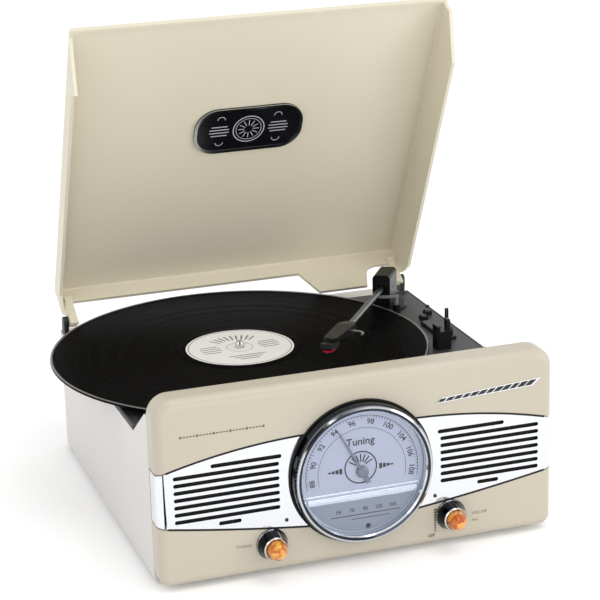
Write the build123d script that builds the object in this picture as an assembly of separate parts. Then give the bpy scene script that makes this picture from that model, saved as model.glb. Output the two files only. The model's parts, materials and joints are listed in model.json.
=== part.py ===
from build123d import *
import math
import os

# Compact belt-drive record player with a radio, two front speakers and a hinged lid.
# Millimetres. While it is built, X is 0 on the cabinet's centre line, Y is 0 on the front
# face and grows to the rear, and Z is 0 on the floor. The last step moves every piece so
# that the origin lies under the middle of the whole object's box.

# Cabinet, front panel and deck
cab_w = 307.0
cab_d = 317.0
wall = 3.0
foot_h = 4.0
side_top = 104.0
cab_rear_r = 8.0
lip_top = 146.5
lip_d = 20.0
lip_corner_r = 15.0
panel_foot_r = 8.0
panel_edge_r = 7.0
panel_back_bottom = 101.0
shoulder_top = 130.0
shoulder_y_high = 26.0
shoulder_y_low = 63.0
ledge_t = 3.0
ledge_d = 28.0
seam = 0.3
deck_top = 107.5
deck_t = 3.0
deck_front_y = 21.0
deck_rear_gap = 26.0
deck_inset = 0.5
deck_skirt_t = 3.0
deck_chamfer = 0.8
rim_w = 2.4
rim_groove_w = 0.7
rim_groove_t = 0.5
cover_t = 2.5
foot_r = 9.0
foot_x = 125.0
foot_front_y = 38.0
foot_rear_gap = 35.0
post_r = 5.0
post_inset = 7.0
screw_r = 1.5
screw_head_r = 3.0
screw_head_t = 1.6
screw_sink = 0.1

# Record, platter and drive
record_r = 150.8
record_t = 2.0
record_x = -35.0
record_y = 181.0
record_gap = 5.5
hole_clear = 0.08
label_r = 43.3
label_t = 0.1
bead_w = 1.6
groove_t = 1.4
groove_inner_r = 50.0
mat_t = 1.5
mat_r = 97.0
platter_r = 100.0
platter_h = 11.0
platter_top_t = 3.0
platter_skirt_t = 4.0
platter_floor_gap = 1.5
well_gap = 4.0
well_wall = 2.5
spindle_r = 3.55
spindle_rise = 5.5
spindle_drop = 38.0
bearing_r = 7.0
bearing_flange_r = 11.0
bearing_flange_t = 1.2
bearing_drop = 22.0
hub_r = 10.0
drive_ring_r = 45.0
drive_ring_t = 3.0
belt_t = 0.9
belt_h = 4.0
belt_clear = 0.15
pulley_r = 7.0
pulley_reach = 72.0
pulley_angle = 126.0
motor_r = 18.0
motor_h = 24.0
motor_shaft_r = 1.0
run_clear = 0.06

# Chrome grilles
band_t = 1.6
band_gap = 1.2
band_wrap_y = 18.5
band_inner_x = 40.0
band_top_inner = 106.3
band_top_mid_x = 97.0
band_top_mid = 102.0
band_top_outer = 90.5
band_bottom_inner = 35.6
band_bottom_mid_x = 101.0
band_bottom_mid = 43.3
band_bottom_outer = 51.5
slot_count = 9
slot_pitch = 5.6
slot_h = 3.0
slot_mid_z = 71.0
slot_x0 = 62.5
slot_x1 = 141.5
slot_top_x0 = 60.5
slot_top_x1 = 113.5
slot_low_x0 = 92.0
slot_low_x1 = 109.0
window_margin = 2.0
cloth_t = 0.8
cloth_margin = 4.0
speaker_r = 33.0
speaker_x = 101.0
speaker_z = 70.0
speaker_depth = 28.0
speaker_magnet_r = 17.0

# Dial
dial_z = 72.5
bezel_r = 54.4
bezel_h = 10.0
dial_r = 48.2
dial_gap = 0.2
dial_seat = 1.2
dial_face_t = 1.0
lens_t = 1.4
lens_rise = 1.6
lens_h = 6.0
bezel_tail = 4.0
bezel_tail_t = 1.5
pointer_h = 3.2
pointer_t = 0.8
pointer_len = 37.0
pointer_hub_r = 4.5
pointer_turn = 28.0
dial_shaft_r = 1.5
dial_pulley_r = 14.0
dial_pulley_y = 8.0
dial_pulley_t = 3.0
lamp_r = 2.0
lamp_in = 4.6
lamp_turn = 5.3

# Knobs
knob_x = 70.0
knob_z = 26.5
knob_r = 11.75
knob_gap = 0.5
knob_h = 12.0
jewel_r = 7.2
jewel_front = 20.5
jewel_seat = 9.0
jewel_sides = 12
knob_shaft_r = 3.0
knob_shaft_drop = 12.0
control_r = 8.0
control_h = 10.0
tuning_drum_r = 4.0

# Tonearm, measured from its vertical pivot
arm_x = 118.0
arm_y = 257.0
arm_len = 176.0
arm_swing = 33.5
arm_pivot_z = 125.5
stylus_lift = 8.3
stylus_gap = 0.2
tube_r = 2.5
tube_wall = 0.6
tube_end = 140.0
shell_offset = 10.0
shell_len = 42.0
shell_back_w = 14.0
shell_tip_w = 10.0
shell_t = 4.5
cartridge_w = 9.0
cartridge_len = 17.0
cartridge_h = 4.2
stylus_w = 8.0
stylus_len = 13.0
stylus_h = 2.4
arm_base_r = 19.0
arm_base_t = 2.5
yoke_disc_r = 10.0
yoke_disc_t = 2.0
yoke_top = 138.0
yoke_front = 12.0
yoke_rear = 13.0
yoke_inner = 5.2
yoke_t = 2.4
yoke_top_t = 3.0
yoke_top_r = 3.5
yoke_front_t = 2.0
yoke_tube_gap = 1.0
yoke_shaft_r = 4.0
axle_r = 1.25
carrier_w = 7.4
carrier_len = 9.0
carrier_h = 8.0
weight_len = 5.0
weight_h = 9.0
lift_r = 24.0
lift_w = 3.0
lift_t = 1.6
lift_post_r = 1.6
lift_travel = 1.6
lift_clear = 0.4
lift_sweep_out = 8.0
lift_sweep_in = 18.0
rest_x = 120.5
rest_y = 135.5
rest_d = 10.0
rest_ear_t = 2.8
rest_slack = 1.4
rest_ear = 4.8
rest_tall_ear = 9.0
lever_x = 134.0
lever_y = 158.0
lever_z = 113.5
lever_w = 3.0
lever_len = 19.0
lever_turn = 60.0
housing_x0 = 127.0
housing_x1 = 140.5
housing_y0 = 151.0
housing_y1 = 198.0
housing_h = 3.0
speed_x = 134.0
speed_y = 208.0
stop_x = 142.5
stop_y = 220.0
switch_cap = 6.0
switch_cap_h = 4.0
switch_body_h = 9.0
speed_travel = 8.0
stop_travel = 5.0

# Lid, drawn closed and then turned about its hinge to the open position
lid_top = 148.0
lid_front_y = 23.0
lid_rear_gap = 21.0
lid_t = 2.6
lid_bottom = 109.0
lid_rear_low = 105.0
lid_edge_r = 4.0
lid_rear_r = 10.0
lid_plan_r = 4.0
lid_front_rim = 144.0
lid_gap = 1.6
lid_left_low_y = 64.0
lid_left_low = 118.0
lid_left_step_y = 72.0
lid_left_cut = 128.0
lid_left_end = 34.0
lid_left_hinge_cut = 117.0
lid_right_end = 37.0
lid_right_hinge_cut = 118.0
rear_cut_top = 130.0
rear_cut_right = 59.0
rear_cut_slant = 12.0
arch_x0 = 114.5
arch_top = 128.5
hinge_from_rear = 16.0
hinge_z = 115.0
lid_open = 62.7
ear_inset = 12.0
ear_w = 6.5
ear_r = 5.0
ear_gap = 0.5
bracket_w = 4.0
bracket_r = 4.4
hinge_pin_r = 2.0
plaque_w = 91.5
plaque_d = 44.5
plaque_r = 19.0
plaque_t = 1.5
plaque_y = 135.5
plaque_rim = 2.2
plaque_rim_t = 0.8
pad_r = 1.6
pad_inset = 2.9

# Derived places
half_w = cab_w / 2
inner_w = half_w - wall
ledge_front_y = cab_d - ledge_d
deck_rear_y = cab_d - deck_rear_gap
foot_rear_y = cab_d - foot_rear_gap
hinge_y = cab_d - hinge_from_rear
lid_rear_y = cab_d - lid_rear_gap
ear_x0 = half_w - ear_inset
record_hole_r = spindle_r + hole_clear
rest_slot = 2 * tube_r + rest_slack
rest_w = rest_slot + 2 * rest_ear_t
record_z = deck_top + record_gap
record_top = record_z + record_t
mat_z = record_z - mat_t
platter_z = mat_z - platter_h
well_floor = platter_z - platter_floor_gap
well_r = platter_r + well_gap
lift_angle = math.degrees(math.asin(stylus_lift / arm_len))
pulley_x = record_x + pulley_reach * math.cos(math.radians(pulley_angle))
pulley_y = record_y + pulley_reach * math.sin(math.radians(pulley_angle))
front_inner_y = wall
tube_low = arm_pivot_z - tube_r

pieces = {}
controls = []
switch_bodies = []


def block(x0, x1, y0, y1, z0, z1):
    """A box between two corners."""
    centre = Pos((x0 + x1) / 2, (y0 + y1) / 2, (z0 + z1) / 2)
    return centre * Box(abs(x1 - x0), abs(y1 - y0), abs(z1 - z0))


def rod_z(x, y, r, z0, z1):
    """A round bar that stands upright."""
    return Pos(x, y, (z0 + z1) / 2) * Cylinder(r, abs(z1 - z0))


def rod_y(x, z, r, y0, y1):
    """A round bar that lies front to back."""
    return Pos(x, (y0 + y1) / 2, z) * Rot(90, 0, 0) * Cylinder(r, abs(y1 - y0))


def rod_x(y, z, r, x0, x1):
    """A round bar that lies left to right."""
    return Pos((x0 + x1) / 2, y, z) * Rot(0, 90, 0) * Cylinder(r, abs(x1 - x0))


def prism(points, direction, length):
    """A straight-sided solid on a closed outline of points."""
    return extrude(Face(Polyline(*points, close=True)), amount=length, dir=direction)


def prism_x(outline, x0, x1):
    """An outline of (y, z) points carried from x0 to x1."""
    return prism([(x0, y, z) for y, z in outline], (1, 0, 0), x1 - x0)


def prism_y(outline, y0, y1):
    """An outline of (x, z) points carried from y0 to y1."""
    return prism([(x, y0, z) for x, z in outline], (0, 1, 0), y1 - y0)


def prism_z(outline, z0, z1):
    """An outline of (x, y) points carried from z0 to z1."""
    return prism([(x, y, z0) for x, y in outline], (0, 0, 1), z1 - z0)


def turned(profile):
    """A turned solid about the Z axis from (radius, height) points."""
    return revolve(Face(Polyline(*[(r, 0, h) for r, h in profile], close=True)), Axis.Z, 360)


def facing_front(x, z):
    """The place of a turned piece that points out of the front face."""
    return Location(Plane(origin=(x, 0, z), x_dir=(1, 0, 0), z_dir=(0, -1, 0)))


def mirrored(solid):
    """The same solid on the other side of the centre line."""
    return mirror(solid, Plane.YZ)


# Front panel: a moulded box, open to the rear below the deck, with a rolled top lip
def panel_block(inset, y0, y1):
    """The panel's outer form, drawn in by an inset, from y0 to y1."""
    w = half_w - inset
    z0 = foot_h + inset
    z1 = lip_top - inset
    face = Face(Polyline((-w, y0, z0), (w, y0, z0), (w, y0, z1), (-w, y0, z1), close=True))
    tops = [v for v in face.vertices() if v.Z > dial_z]
    lows = [v for v in face.vertices() if v.Z < dial_z]
    face = face.fillet_2d(lip_corner_r - inset, tops)
    lows = [v for v in face.vertices() if v.Z < z0 + 0.01 and abs(v.X) > w - 0.01]
    face = face.fillet_2d(panel_foot_r - inset, lows)
    solid = extrude(face, amount=y1 - y0, dir=(0, 1, 0))
    rim = [e for e in solid.edges() if e.bounding_box().max.Y < y0 + 0.01]
    return fillet(rim, panel_edge_r - inset)


def band_outline(grow):
    """The right grille's outline, wider by a gap all round."""
    far = half_w + 10
    top = ThreePointArc((band_inner_x, 0, band_top_inner + grow),
                        (band_top_mid_x, 0, band_top_mid + grow),
                        (half_w, 0, band_top_outer + grow))
    low = ThreePointArc((half_w, 0, band_bottom_outer - grow),
                        (band_bottom_mid_x, 0, band_bottom_mid - grow),
                        (band_inner_x, 0, band_bottom_inner - grow))
    side = Polyline((half_w, 0, band_top_outer + grow), (far, 0, band_top_outer + grow),
                    (far, 0, band_bottom_outer - grow), (half_w, 0, band_bottom_outer - grow))
    inner = Line((band_inner_x, 0, band_bottom_inner - grow), (band_inner_x, 0, band_top_inner + grow))
    return Face(Wire(top.edges() + side.edges() + low.edges() + inner.edges()))


def band_prism(grow, y1):
    """The space of the right grille, from before the face to y1."""
    return Pos(0, -5, 0) * extrude(band_outline(grow), amount=y1 + 5, dir=(0, 1, 0))


def slot(x0, x1, z):
    """One louvre slot with round ends."""
    r = slot_h / 2
    y0 = -1
    y1 = wall + 1
    bar = block(x0 + r, x1 - r, y0, y1, z - r, z + r)
    return bar + rod_y(x0 + r, z, r, y0, y1) + rod_y(x1 - r, z, r, y0, y1)


panel_outer = panel_block(0, 0, lip_d)
panel_under = panel_block(band_t, band_t, lip_d + 5)
panel_skin = panel_outer - panel_under
dial_clear = rod_y(0, dial_z, bezel_r + seam, -5, lip_d)

band = (panel_skin & band_prism(0, band_wrap_y)) - dial_clear
for i in range(slot_count):
    slot_z = slot_mid_z + (i - (slot_count - 1) / 2) * slot_pitch
    if i == 0:
        band -= slot(slot_low_x0, slot_low_x1, slot_z)
    elif i == slot_count - 1:
        band -= slot(slot_top_x0, slot_top_x1, slot_z)
    else:
        band -= slot(slot_x0, slot_x1, slot_z)
pieces["grille_right"] = band
pieces["grille_left"] = mirrored(band)

window_low = slot_mid_z - (slot_count - 1) / 2 * slot_pitch - slot_h / 2 - window_margin / 2
window_high = slot_mid_z + (slot_count - 1) / 2 * slot_pitch + slot_h / 2 + window_margin / 2
window_outer_low = window_low + slot_pitch
window_outer_high = window_high - slot_pitch
window = prism_y([(slot_top_x0 - window_margin, window_low), (slot_low_x1 + window_margin, window_low),
                  (slot_x1 + window_margin, window_outer_low), (slot_x1 + window_margin, window_outer_high),
                  (slot_top_x1 + window_margin, window_high), (slot_top_x0 - window_margin, window_high)],
                 -1, wall + 1)

panel_cavity = panel_block(wall, wall, lip_d - wall)
panel_cavity += block(-inner_w, inner_w, wall + 8, lip_d + 1, foot_h + wall, panel_back_bottom)
pocket = (panel_skin & band_prism(band_gap, band_wrap_y + band_gap)) - rod_y(0, dial_z, dial_r, -5, lip_d)
panel = panel_outer - panel_cavity - pocket - mirrored(pocket)
panel -= window
panel -= mirrored(window)
panel -= rod_y(0, dial_z, dial_r + 0.1, -1, wall + 1)
for side in (-1, 1):
    panel -= rod_y(side * knob_x, knob_z, knob_shaft_r + 0.6, -1, wall + 1)
pieces["front_panel"] = panel

cloth_z0 = window_low - cloth_margin
cloth_z1 = window_high + cloth_margin
cloth = block(slot_top_x0 - cloth_margin, slot_x1 + cloth_margin, wall, wall + cloth_t, cloth_z0, cloth_z1)
pieces["grille_cloths"] = Compound(children=[cloth, mirrored(cloth)])


# Speakers: a pressed basket with its flange on the cloth, the cone and the magnet
def speaker():
    """One full-range driver, facing forward."""
    y0 = wall + cloth_t
    profile = [(0, -y0 - 4), (12, -y0 - 9), (speaker_r - 6, -y0 - 1.2), (speaker_r - 5, -y0),
               (speaker_r, -y0), (speaker_r, -y0 - 2), (speaker_r - 3, -y0 - 2.4),
               (speaker_magnet_r, -y0 - speaker_depth * 0.6), (speaker_magnet_r, -y0 - speaker_depth),
               (0, -y0 - speaker_depth)]
    return facing_front(speaker_x, speaker_z) * turned(profile)


pieces["speakers"] = Compound(children=[speaker(), mirrored(speaker())])

# Dial: bezel, lens, face, lamp, pointer with its pulley and the drive cord
seat_r = dial_r - bezel_tail_t
bezel_profile = [(bezel_r, 0), (bezel_r - 0.7, bezel_h * 0.7), (bezel_r - 1.9, bezel_h * 0.93),
                 (bezel_r - 3.6, bezel_h), (dial_r + 1.0, bezel_h * 0.95), (dial_r, bezel_h * 0.8),
                 (dial_r, dial_seat), (seat_r, dial_seat), (seat_r, -bezel_tail), (dial_r, -bezel_tail),
                 (dial_r, 0)]
pieces["dial_bezel"] = facing_front(0, dial_z) * turned(bezel_profile)

face_r = dial_r - dial_gap
dial_plate = turned([(dial_shaft_r + 0.08, dial_seat), (face_r, dial_seat),
                     (face_r, dial_seat + dial_face_t), (dial_shaft_r + 0.08, dial_seat + dial_face_t)])
lamp_place = Rot(0, 0, lamp_turn) * Pos(0, -(dial_r - lamp_in), 0)
dial_plate -= lamp_place * Cylinder(lamp_r + 0.1, 20)
pieces["dial_face"] = facing_front(0, dial_z) * dial_plate
lamp = turned([(0, dial_seat - 4), (lamp_r, dial_seat - 4), (lamp_r, dial_seat + dial_face_t),
               (lamp_r * 0.7, dial_seat + dial_face_t + 0.6), (0, dial_seat + dial_face_t + 0.8)])
pieces["indicator_lamp"] = facing_front(0, dial_z) * (lamp_place * lamp)

mid_r = dial_r / 2
mid_rise = lens_rise * 0.75
lens_top = ThreePointArc((0, 0, lens_h + lens_t + lens_rise), (mid_r, 0, lens_h + lens_t + mid_rise),
                         (dial_r, 0, lens_h + lens_t))
lens_low = ThreePointArc((0, 0, lens_h + lens_rise), (mid_r, 0, lens_h + mid_rise), (dial_r, 0, lens_h))
lens_edges = lens_top.edges() + Line(lens_top @ 1, lens_low @ 1).edges() + lens_low.edges()
lens_edges += Line(lens_low @ 0, lens_top @ 0).edges()
lens = revolve(Face(Wire(lens_edges)), Axis.Z, 360)
pieces["dial_lens"] = facing_front(0, dial_z) * lens

pointer_y0 = dial_pulley_y + dial_pulley_t
needle = prism_z([(-1.1, 0), (1.1, 0), (0.35, pointer_len), (-0.35, pointer_len)],
                 pointer_h, pointer_h + pointer_t)
needle += prism_z([(-1.4, 0), (1.4, 0), (1.8, -10), (-1.8, -10)], pointer_h, pointer_h + pointer_t)
needle = Rot(0, 0, pointer_turn) * needle
hub = turned([(0, pointer_h), (pointer_hub_r, pointer_h), (pointer_hub_r, pointer_h + pointer_t + 0.2),
              (pointer_hub_r - 1.5, pointer_h + pointer_t + 1.0), (0, pointer_h + pointer_t + 1.2)])
stem = turned([(0, -pointer_y0), (dial_shaft_r, -pointer_y0), (dial_shaft_r, pointer_h), (0, pointer_h)])
pulley = turned([(0, -pointer_y0), (dial_pulley_r + 1, -pointer_y0), (dial_pulley_r + 1, -pointer_y0 + 0.6),
                 (dial_pulley_r, -pointer_y0 + 1.0), (dial_pulley_r, -dial_pulley_y - 1.0),
                 (dial_pulley_r + 1, -dial_pulley_y - 0.6), (dial_pulley_r + 1, -dial_pulley_y),
                 (0, -dial_pulley_y)])
pieces["dial_pointer"] = facing_front(0, dial_z) * (needle + hub + stem)
pieces["dial_pulley"] = facing_front(0, dial_z) * (pulley - Cylinder(dial_shaft_r, 60))


def loop(xa, za, ra, xb, zb, rb, thick):
    """A closed belt outline in a plane round two round drums, as (outer, inner) faces."""
    faces = []
    for grow in (thick, 0):
        span = math.hypot(xb - xa, zb - za)
        base = math.atan2(zb - za, xb - xa)
        lean = math.acos((ra - rb) / span)
        a = [(xa + (ra + grow) * math.cos(base + s * lean), za + (ra + grow) * math.sin(base + s * lean))
             for s in (1, -1)]
        b = [(xb + (rb + grow) * math.cos(base + s * lean), zb + (rb + grow) * math.sin(base + s * lean))
             for s in (1, -1)]
        back = (xa - (ra + grow) * math.cos(base), za - (ra + grow) * math.sin(base))
        front = (xb + (rb + grow) * math.cos(base), zb + (rb + grow) * math.sin(base))
        edges = Line(a[0], b[0]).edges() + ThreePointArc(b[0], front, b[1]).edges()
        edges += Line(b[1], a[1]).edges() + ThreePointArc(a[1], back, a[0]).edges()
        faces.append(Face(Wire(edges)))
    return faces


def belt(faces, depth):
    """A belt of a given depth from its two outline faces."""
    return extrude(faces[0], amount=depth, dir=(0, 0, 1)) - extrude(faces[1], amount=depth, dir=(0, 0, 1))


cord_y = dial_pulley_y + dial_pulley_t / 2 + 0.35
cord_faces = loop(0, 0, dial_pulley_r + 0.12, -knob_x, knob_z - dial_z, tuning_drum_r + 0.12, 0.7)
pieces["dial_cord"] = facing_front(0, dial_z) * (Pos(0, 0, -cord_y) * belt(cord_faces, 0.7))


# Knobs: a chrome skirt with its shaft, and a faceted amber cap seated in it
def knob():
    """The turned skirt and shaft of a knob, standing on the XY plane."""
    profile = [(0, -knob_shaft_drop), (knob_shaft_r, -knob_shaft_drop), (knob_shaft_r, knob_gap),
               (knob_r, knob_gap), (knob_r, knob_gap + 1.2), (knob_r - 0.8, knob_gap + 2.2),
               (knob_r - 1.8, knob_h * 0.6), (jewel_r + 1.9, knob_h - 1), (jewel_r + 1.2, knob_h),
               (jewel_r + 0.3, knob_h - 0.4), (jewel_r + 0.05, jewel_seat), (0, jewel_seat)]
    return turned(profile)


def jewel():
    """A cut glass-like cap: twelve sides, a stepped crown and a flat table."""
    r = jewel_r
    levels = [(jewel_seat, r), (jewel_seat + 5.5, r), (jewel_front - 2.6, r * 0.86), (jewel_front, r * 0.42)]
    solid = None
    for (h0, r0), (h1, r1) in zip(levels, levels[1:]):
        lower = Pos(0, 0, h0) * RegularPolygon(r0, jewel_sides)
        upper = Pos(0, 0, h1) * RegularPolygon(r1, jewel_sides)
        ring = loft([lower.face(), upper.face()], ruled=True)
        solid = ring if solid is None else solid + ring
    return solid


drum = turned([(knob_shaft_r, -pointer_y0 + 0.2), (tuning_drum_r, -pointer_y0 + 0.2),
               (tuning_drum_r, -dial_pulley_y - 0.2), (knob_shaft_r, -dial_pulley_y - 0.2)])
for name, x in (("tuning", -knob_x), ("volume", knob_x)):
    front = facing_front(x, knob_z)
    skirt = knob() + drum if name == "tuning" else knob()
    pieces[name + "_knob"] = front * skirt
    pieces[name + "_knob_jewel"] = front * jewel()
    body = turned([(knob_shaft_r + run_clear, -knob_shaft_drop), (control_r, -knob_shaft_drop),
                   (control_r, -knob_shaft_drop - control_h), (0, -knob_shaft_drop - control_h),
                   (0, -knob_shaft_drop - 0.3), (knob_shaft_r + run_clear, -knob_shaft_drop - 0.3)])
    bracket_w2 = control_r + 3
    bracket = block(x - bracket_w2, x + bracket_w2, knob_shaft_drop + control_h,
                    knob_shaft_drop + control_h + 1.5, foot_h + cover_t, knob_z + control_r)
    shelf = block(x - bracket_w2, x + bracket_w2, lip_d + seam + 1, knob_shaft_drop + control_h + 12,
                  foot_h + cover_t, foot_h + cover_t + 1.5)
    controls.append((front * body) + bracket + shelf)
pieces["control_bodies"] = Compound(children=controls)

# Cabinet: a moulded tub, with side shoulders that run up to the front lip
def rounded_plan(w, y0, y1, r, z0, z1):
    """A box whose two rear upright corners are rounded."""
    solid = block(-w, w, y0, y1, z0, z1)
    rear = [e for e in solid.edges().filter_by(Axis.Z) if e.center().Y > y1 - 0.01]
    return fillet(rear, r)


cab_y0 = lip_d + seam
cabinet = rounded_plan(half_w, cab_y0, cab_d, cab_rear_r, foot_h, side_top)
cabinet -= rounded_plan(inner_w, cab_y0 - 1, cab_d - wall, cab_rear_r - wall, foot_h - 1, side_top - ledge_t)
cabinet -= block(-inner_w, inner_w, cab_y0 - 1, ledge_front_y, side_top - ledge_t - 1, side_top + 1)
shoulder_line = [(cab_y0, side_top - 1), (shoulder_y_low + 1.4, side_top - 1), (shoulder_y_low, side_top),
                 (shoulder_y_high, shoulder_top), (cab_y0, shoulder_top)]
for side in (-1, 1):
    x_in = side * inner_w
    x_out = side * half_w
    cabinet += prism_x(shoulder_line, min(x_in, x_out), max(x_in, x_out))
    for y in (foot_front_y, foot_rear_y):
        post = rod_z(side * (inner_w - post_inset + 3), y, post_r, foot_h + cover_t, side_top - ledge_t)
        post -= rod_z(side * (inner_w - post_inset + 3), y, screw_r + 0.03, foot_h, foot_h + cover_t + 14)
        post -= rod_z(side * (inner_w - post_inset + 3), y, screw_r + 0.03, side_top - 17, side_top)
        cabinet += post & block(-inner_w - 1, inner_w + 1, cab_y0, cab_d, 0, side_top)
socket_x0 = 60.0
socket_w = 64.0
socket_z0 = 30.0
socket_h = 26.0
cabinet -= block(socket_x0, socket_x0 + socket_w, cab_d - wall - 1, cab_d + 1, socket_z0, socket_z0 + socket_h)
vent_count = 7
for i in range(vent_count):
    x = -110 + i * 12
    vent = block(x, x + 4, cab_d - wall - 1, cab_d + 1, 40, 72)
    cabinet -= vent
pieces["cabinet"] = cabinet

# Bottom cover, feet and the screws that hold them
cover_w = inner_w - seam
cover = rounded_plan(cover_w, cab_y0 + 0.3, cab_d - wall - seam, cab_rear_r - wall - seam, foot_h, foot_h + cover_t)
post_places = [(s * (inner_w - post_inset + 3), y) for s in (-1, 1) for y in (foot_front_y, foot_rear_y)]
cover -= [rod_z(x, y, screw_r + 0.2, 0, 20) for x, y in post_places]
for i in range(6):
    cover -= block(-50 + i * 18, -44 + i * 18, 120, 200, 0, 20)
pieces["bottom_cover"] = cover
feet = [rod_z(s * foot_x, y, foot_r, 0, foot_h) for s in (-1, 1) for y in (foot_front_y, foot_rear_y)]
feet = [chamfer(f.edges().group_by(Axis.Z)[0], 1.0) for f in feet]
pieces["feet"] = Compound(children=feet)
bottom_screws = []
for x, y in post_places:
    shank = rod_z(x, y, screw_r, foot_h - 0.5, foot_h + cover_t + 12)
    bottom_screws.append(shank + rod_z(x, y, screw_head_r, foot_h - 1.7, foot_h))

# Deck: a moulded board that caps the tub, with the platter well
deck_w = half_w - deck_inset
deck_wide = block(-deck_w, deck_w, shoulder_y_low + 2, deck_rear_y, side_top, deck_top)
deck_narrow = block(-inner_w + seam, inner_w - seam, deck_front_y, shoulder_y_low + 3, side_top, deck_top)
deck = deck_wide + deck_narrow
deck = chamfer(deck.edges().group_by(Axis.Z)[-1], deck_chamfer)
deck -= block(-deck_w + deck_skirt_t, deck_w - deck_skirt_t, shoulder_y_low + 5, deck_rear_y - deck_skirt_t,
              side_top - 1, deck_top - deck_t)
deck -= block(-inner_w + seam + deck_skirt_t, inner_w - seam - deck_skirt_t, deck_front_y + deck_skirt_t,
              shoulder_y_low + 6, side_top - 1, deck_top - deck_t)
rim_x = deck_w - rim_w
rim_y = deck_rear_y - rim_w
groove_z = deck_top - rim_groove_t
for side in (-1, 1):
    xs = sorted((side * rim_x, side * (rim_x - rim_groove_w)))
    deck -= block(xs[0], xs[1], shoulder_y_low + 2 + rim_w, rim_y, groove_z, deck_top + 1)
deck -= block(-rim_x, rim_x, rim_y - rim_groove_w, rim_y, groove_z, deck_top + 1)
deck += rod_z(record_x, record_y, well_r + well_wall, well_floor - well_wall, deck_top - 0.5)
deck -= rod_z(record_x, record_y, well_r, well_floor, deck_top + 1)
deck -= rod_z(record_x, record_y, bearing_r + 0.05, well_floor - 10, deck_top)
deck -= rod_z(pulley_x, pulley_y, pulley_r + 2, well_floor - 10, deck_top)
deck -= rod_z(arm_x, arm_y, yoke_shaft_r + 1.5, side_top - 1, deck_top + 1)
pieces["deck"] = deck

# Platter with its hub and drive ring, mat, spindle, bearing, belt and motor
platter_profile = [(spindle_r, mat_z), (platter_r - 1, mat_z), (platter_r, mat_z - 1), (platter_r, platter_z),
                   (platter_r - platter_skirt_t, platter_z), (platter_r - platter_skirt_t, mat_z - platter_top_t),
                   (drive_ring_r, mat_z - platter_top_t), (drive_ring_r, platter_z + 1),
                   (drive_ring_r - drive_ring_t, platter_z + 1), (drive_ring_r - drive_ring_t, mat_z - platter_top_t),
                   (hub_r, mat_z - platter_top_t), (hub_r, platter_z), (spindle_r, platter_z)]
at_record = Pos(record_x, record_y, 0)
pieces["platter"] = at_record * turned(platter_profile)
pieces["platter_mat"] = at_record * turned([(spindle_r + 0.4, mat_z), (mat_r, mat_z), (mat_r, record_z - 0.4),
                                           (mat_r - 1, record_z), (spindle_r + 0.4, record_z)])
spindle_top = record_top + spindle_rise
spindle_low = well_floor - spindle_drop + 12
pieces["spindle"] = at_record * turned([(0, spindle_low), (spindle_r - 0.6, spindle_low),
                                       (spindle_r, spindle_low + 0.6), (spindle_r, spindle_top - 2.5),
                                       (spindle_r - 0.9, spindle_top - 0.6), (spindle_r - 2, spindle_top),
                                       (0, spindle_top)])
bore_r = spindle_r + run_clear
pieces["spindle_bearing"] = at_record * turned([
    (bore_r, well_floor + bearing_flange_t), (bearing_flange_r, well_floor + bearing_flange_t),
    (bearing_flange_r, well_floor), (bearing_r, well_floor), (bearing_r, well_floor - bearing_drop),
    (spindle_r - 1, well_floor - bearing_drop - 6), (0, well_floor - bearing_drop - 6),
    (0, spindle_low - 0.2), (bore_r, spindle_low - 0.2)])
belt_z = platter_z + 2.5
belt_faces = loop(record_x, record_y, drive_ring_r + belt_clear, pulley_x, pulley_y, pulley_r + belt_clear, belt_t)
pieces["drive_belt"] = Pos(0, 0, belt_z) * belt(belt_faces, belt_h)
pulley_low = well_floor + 0.8
pulley_top = belt_z + belt_h + 1.2
at_pulley = Pos(pulley_x, pulley_y, 0)
motor_top = well_floor - well_wall
motor_pulley = turned([(0, motor_top - 3), (motor_shaft_r, motor_top - 3), (motor_shaft_r, pulley_low),
                       (pulley_r + 1, pulley_low), (pulley_r + 1, pulley_low + 0.8), (pulley_r, belt_z - 0.4),
                       (pulley_r, belt_z + belt_h + 0.4), (pulley_r + 0.7, pulley_top), (0, pulley_top)])
pieces["motor_pulley"] = at_pulley * motor_pulley
pieces["motor"] = at_pulley * turned([
    (motor_shaft_r + run_clear, motor_top), (motor_r + 4, motor_top), (motor_r + 4, motor_top - 1.5),
    (motor_r, motor_top - 1.5), (motor_r, motor_top - motor_h), (0, motor_top - motor_h),
    (0, motor_top - 3.3), (motor_shaft_r + run_clear, motor_top - 3.3)])

# Record: a pressed disc with a raised rim and a raised label area, and its two labels
mid_z = record_z + record_t / 2
edge_t = record_t / 2
flat_t = groove_t / 2
core_t = record_t / 2 - label_t
half = [(record_hole_r, core_t), (label_r + 0.3, core_t), (label_r + 1, edge_t), (label_r + 3, edge_t),
        (groove_inner_r, flat_t), (record_r - bead_w - 1.2, flat_t), (record_r - bead_w, edge_t),
        (record_r - 0.6, edge_t), (record_r, edge_t - 0.6)]
record_profile = [(r, mid_z + t) for r, t in half] + [(r, mid_z - t) for r, t in reversed(half)]
pieces["record"] = at_record * turned(record_profile)
labels = []
for z in (mid_z + core_t, mid_z - core_t - label_t):
    labels.append(at_record * turned([(record_hole_r + 0.2, z), (label_r, z), (label_r, z + label_t),
                                      (record_hole_r + 0.2, z + label_t)]))
pieces["record_labels"] = Compound(children=labels)

# Tonearm: drawn level and pointing to the front from its pivot, then tipped and swung
arm_place = Pos(arm_x, arm_y, arm_pivot_z) * Rot(0, 0, -arm_swing)
arm_tipped = arm_place * Rot(-lift_angle, 0, 0)


def arm_box(x0, x1, y0, y1, z0, z1):
    """A box in the arm's own frame, where -Y runs from the pivot to the stylus."""
    return block(x0, x1, y0, y1, z0, z1)


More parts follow.
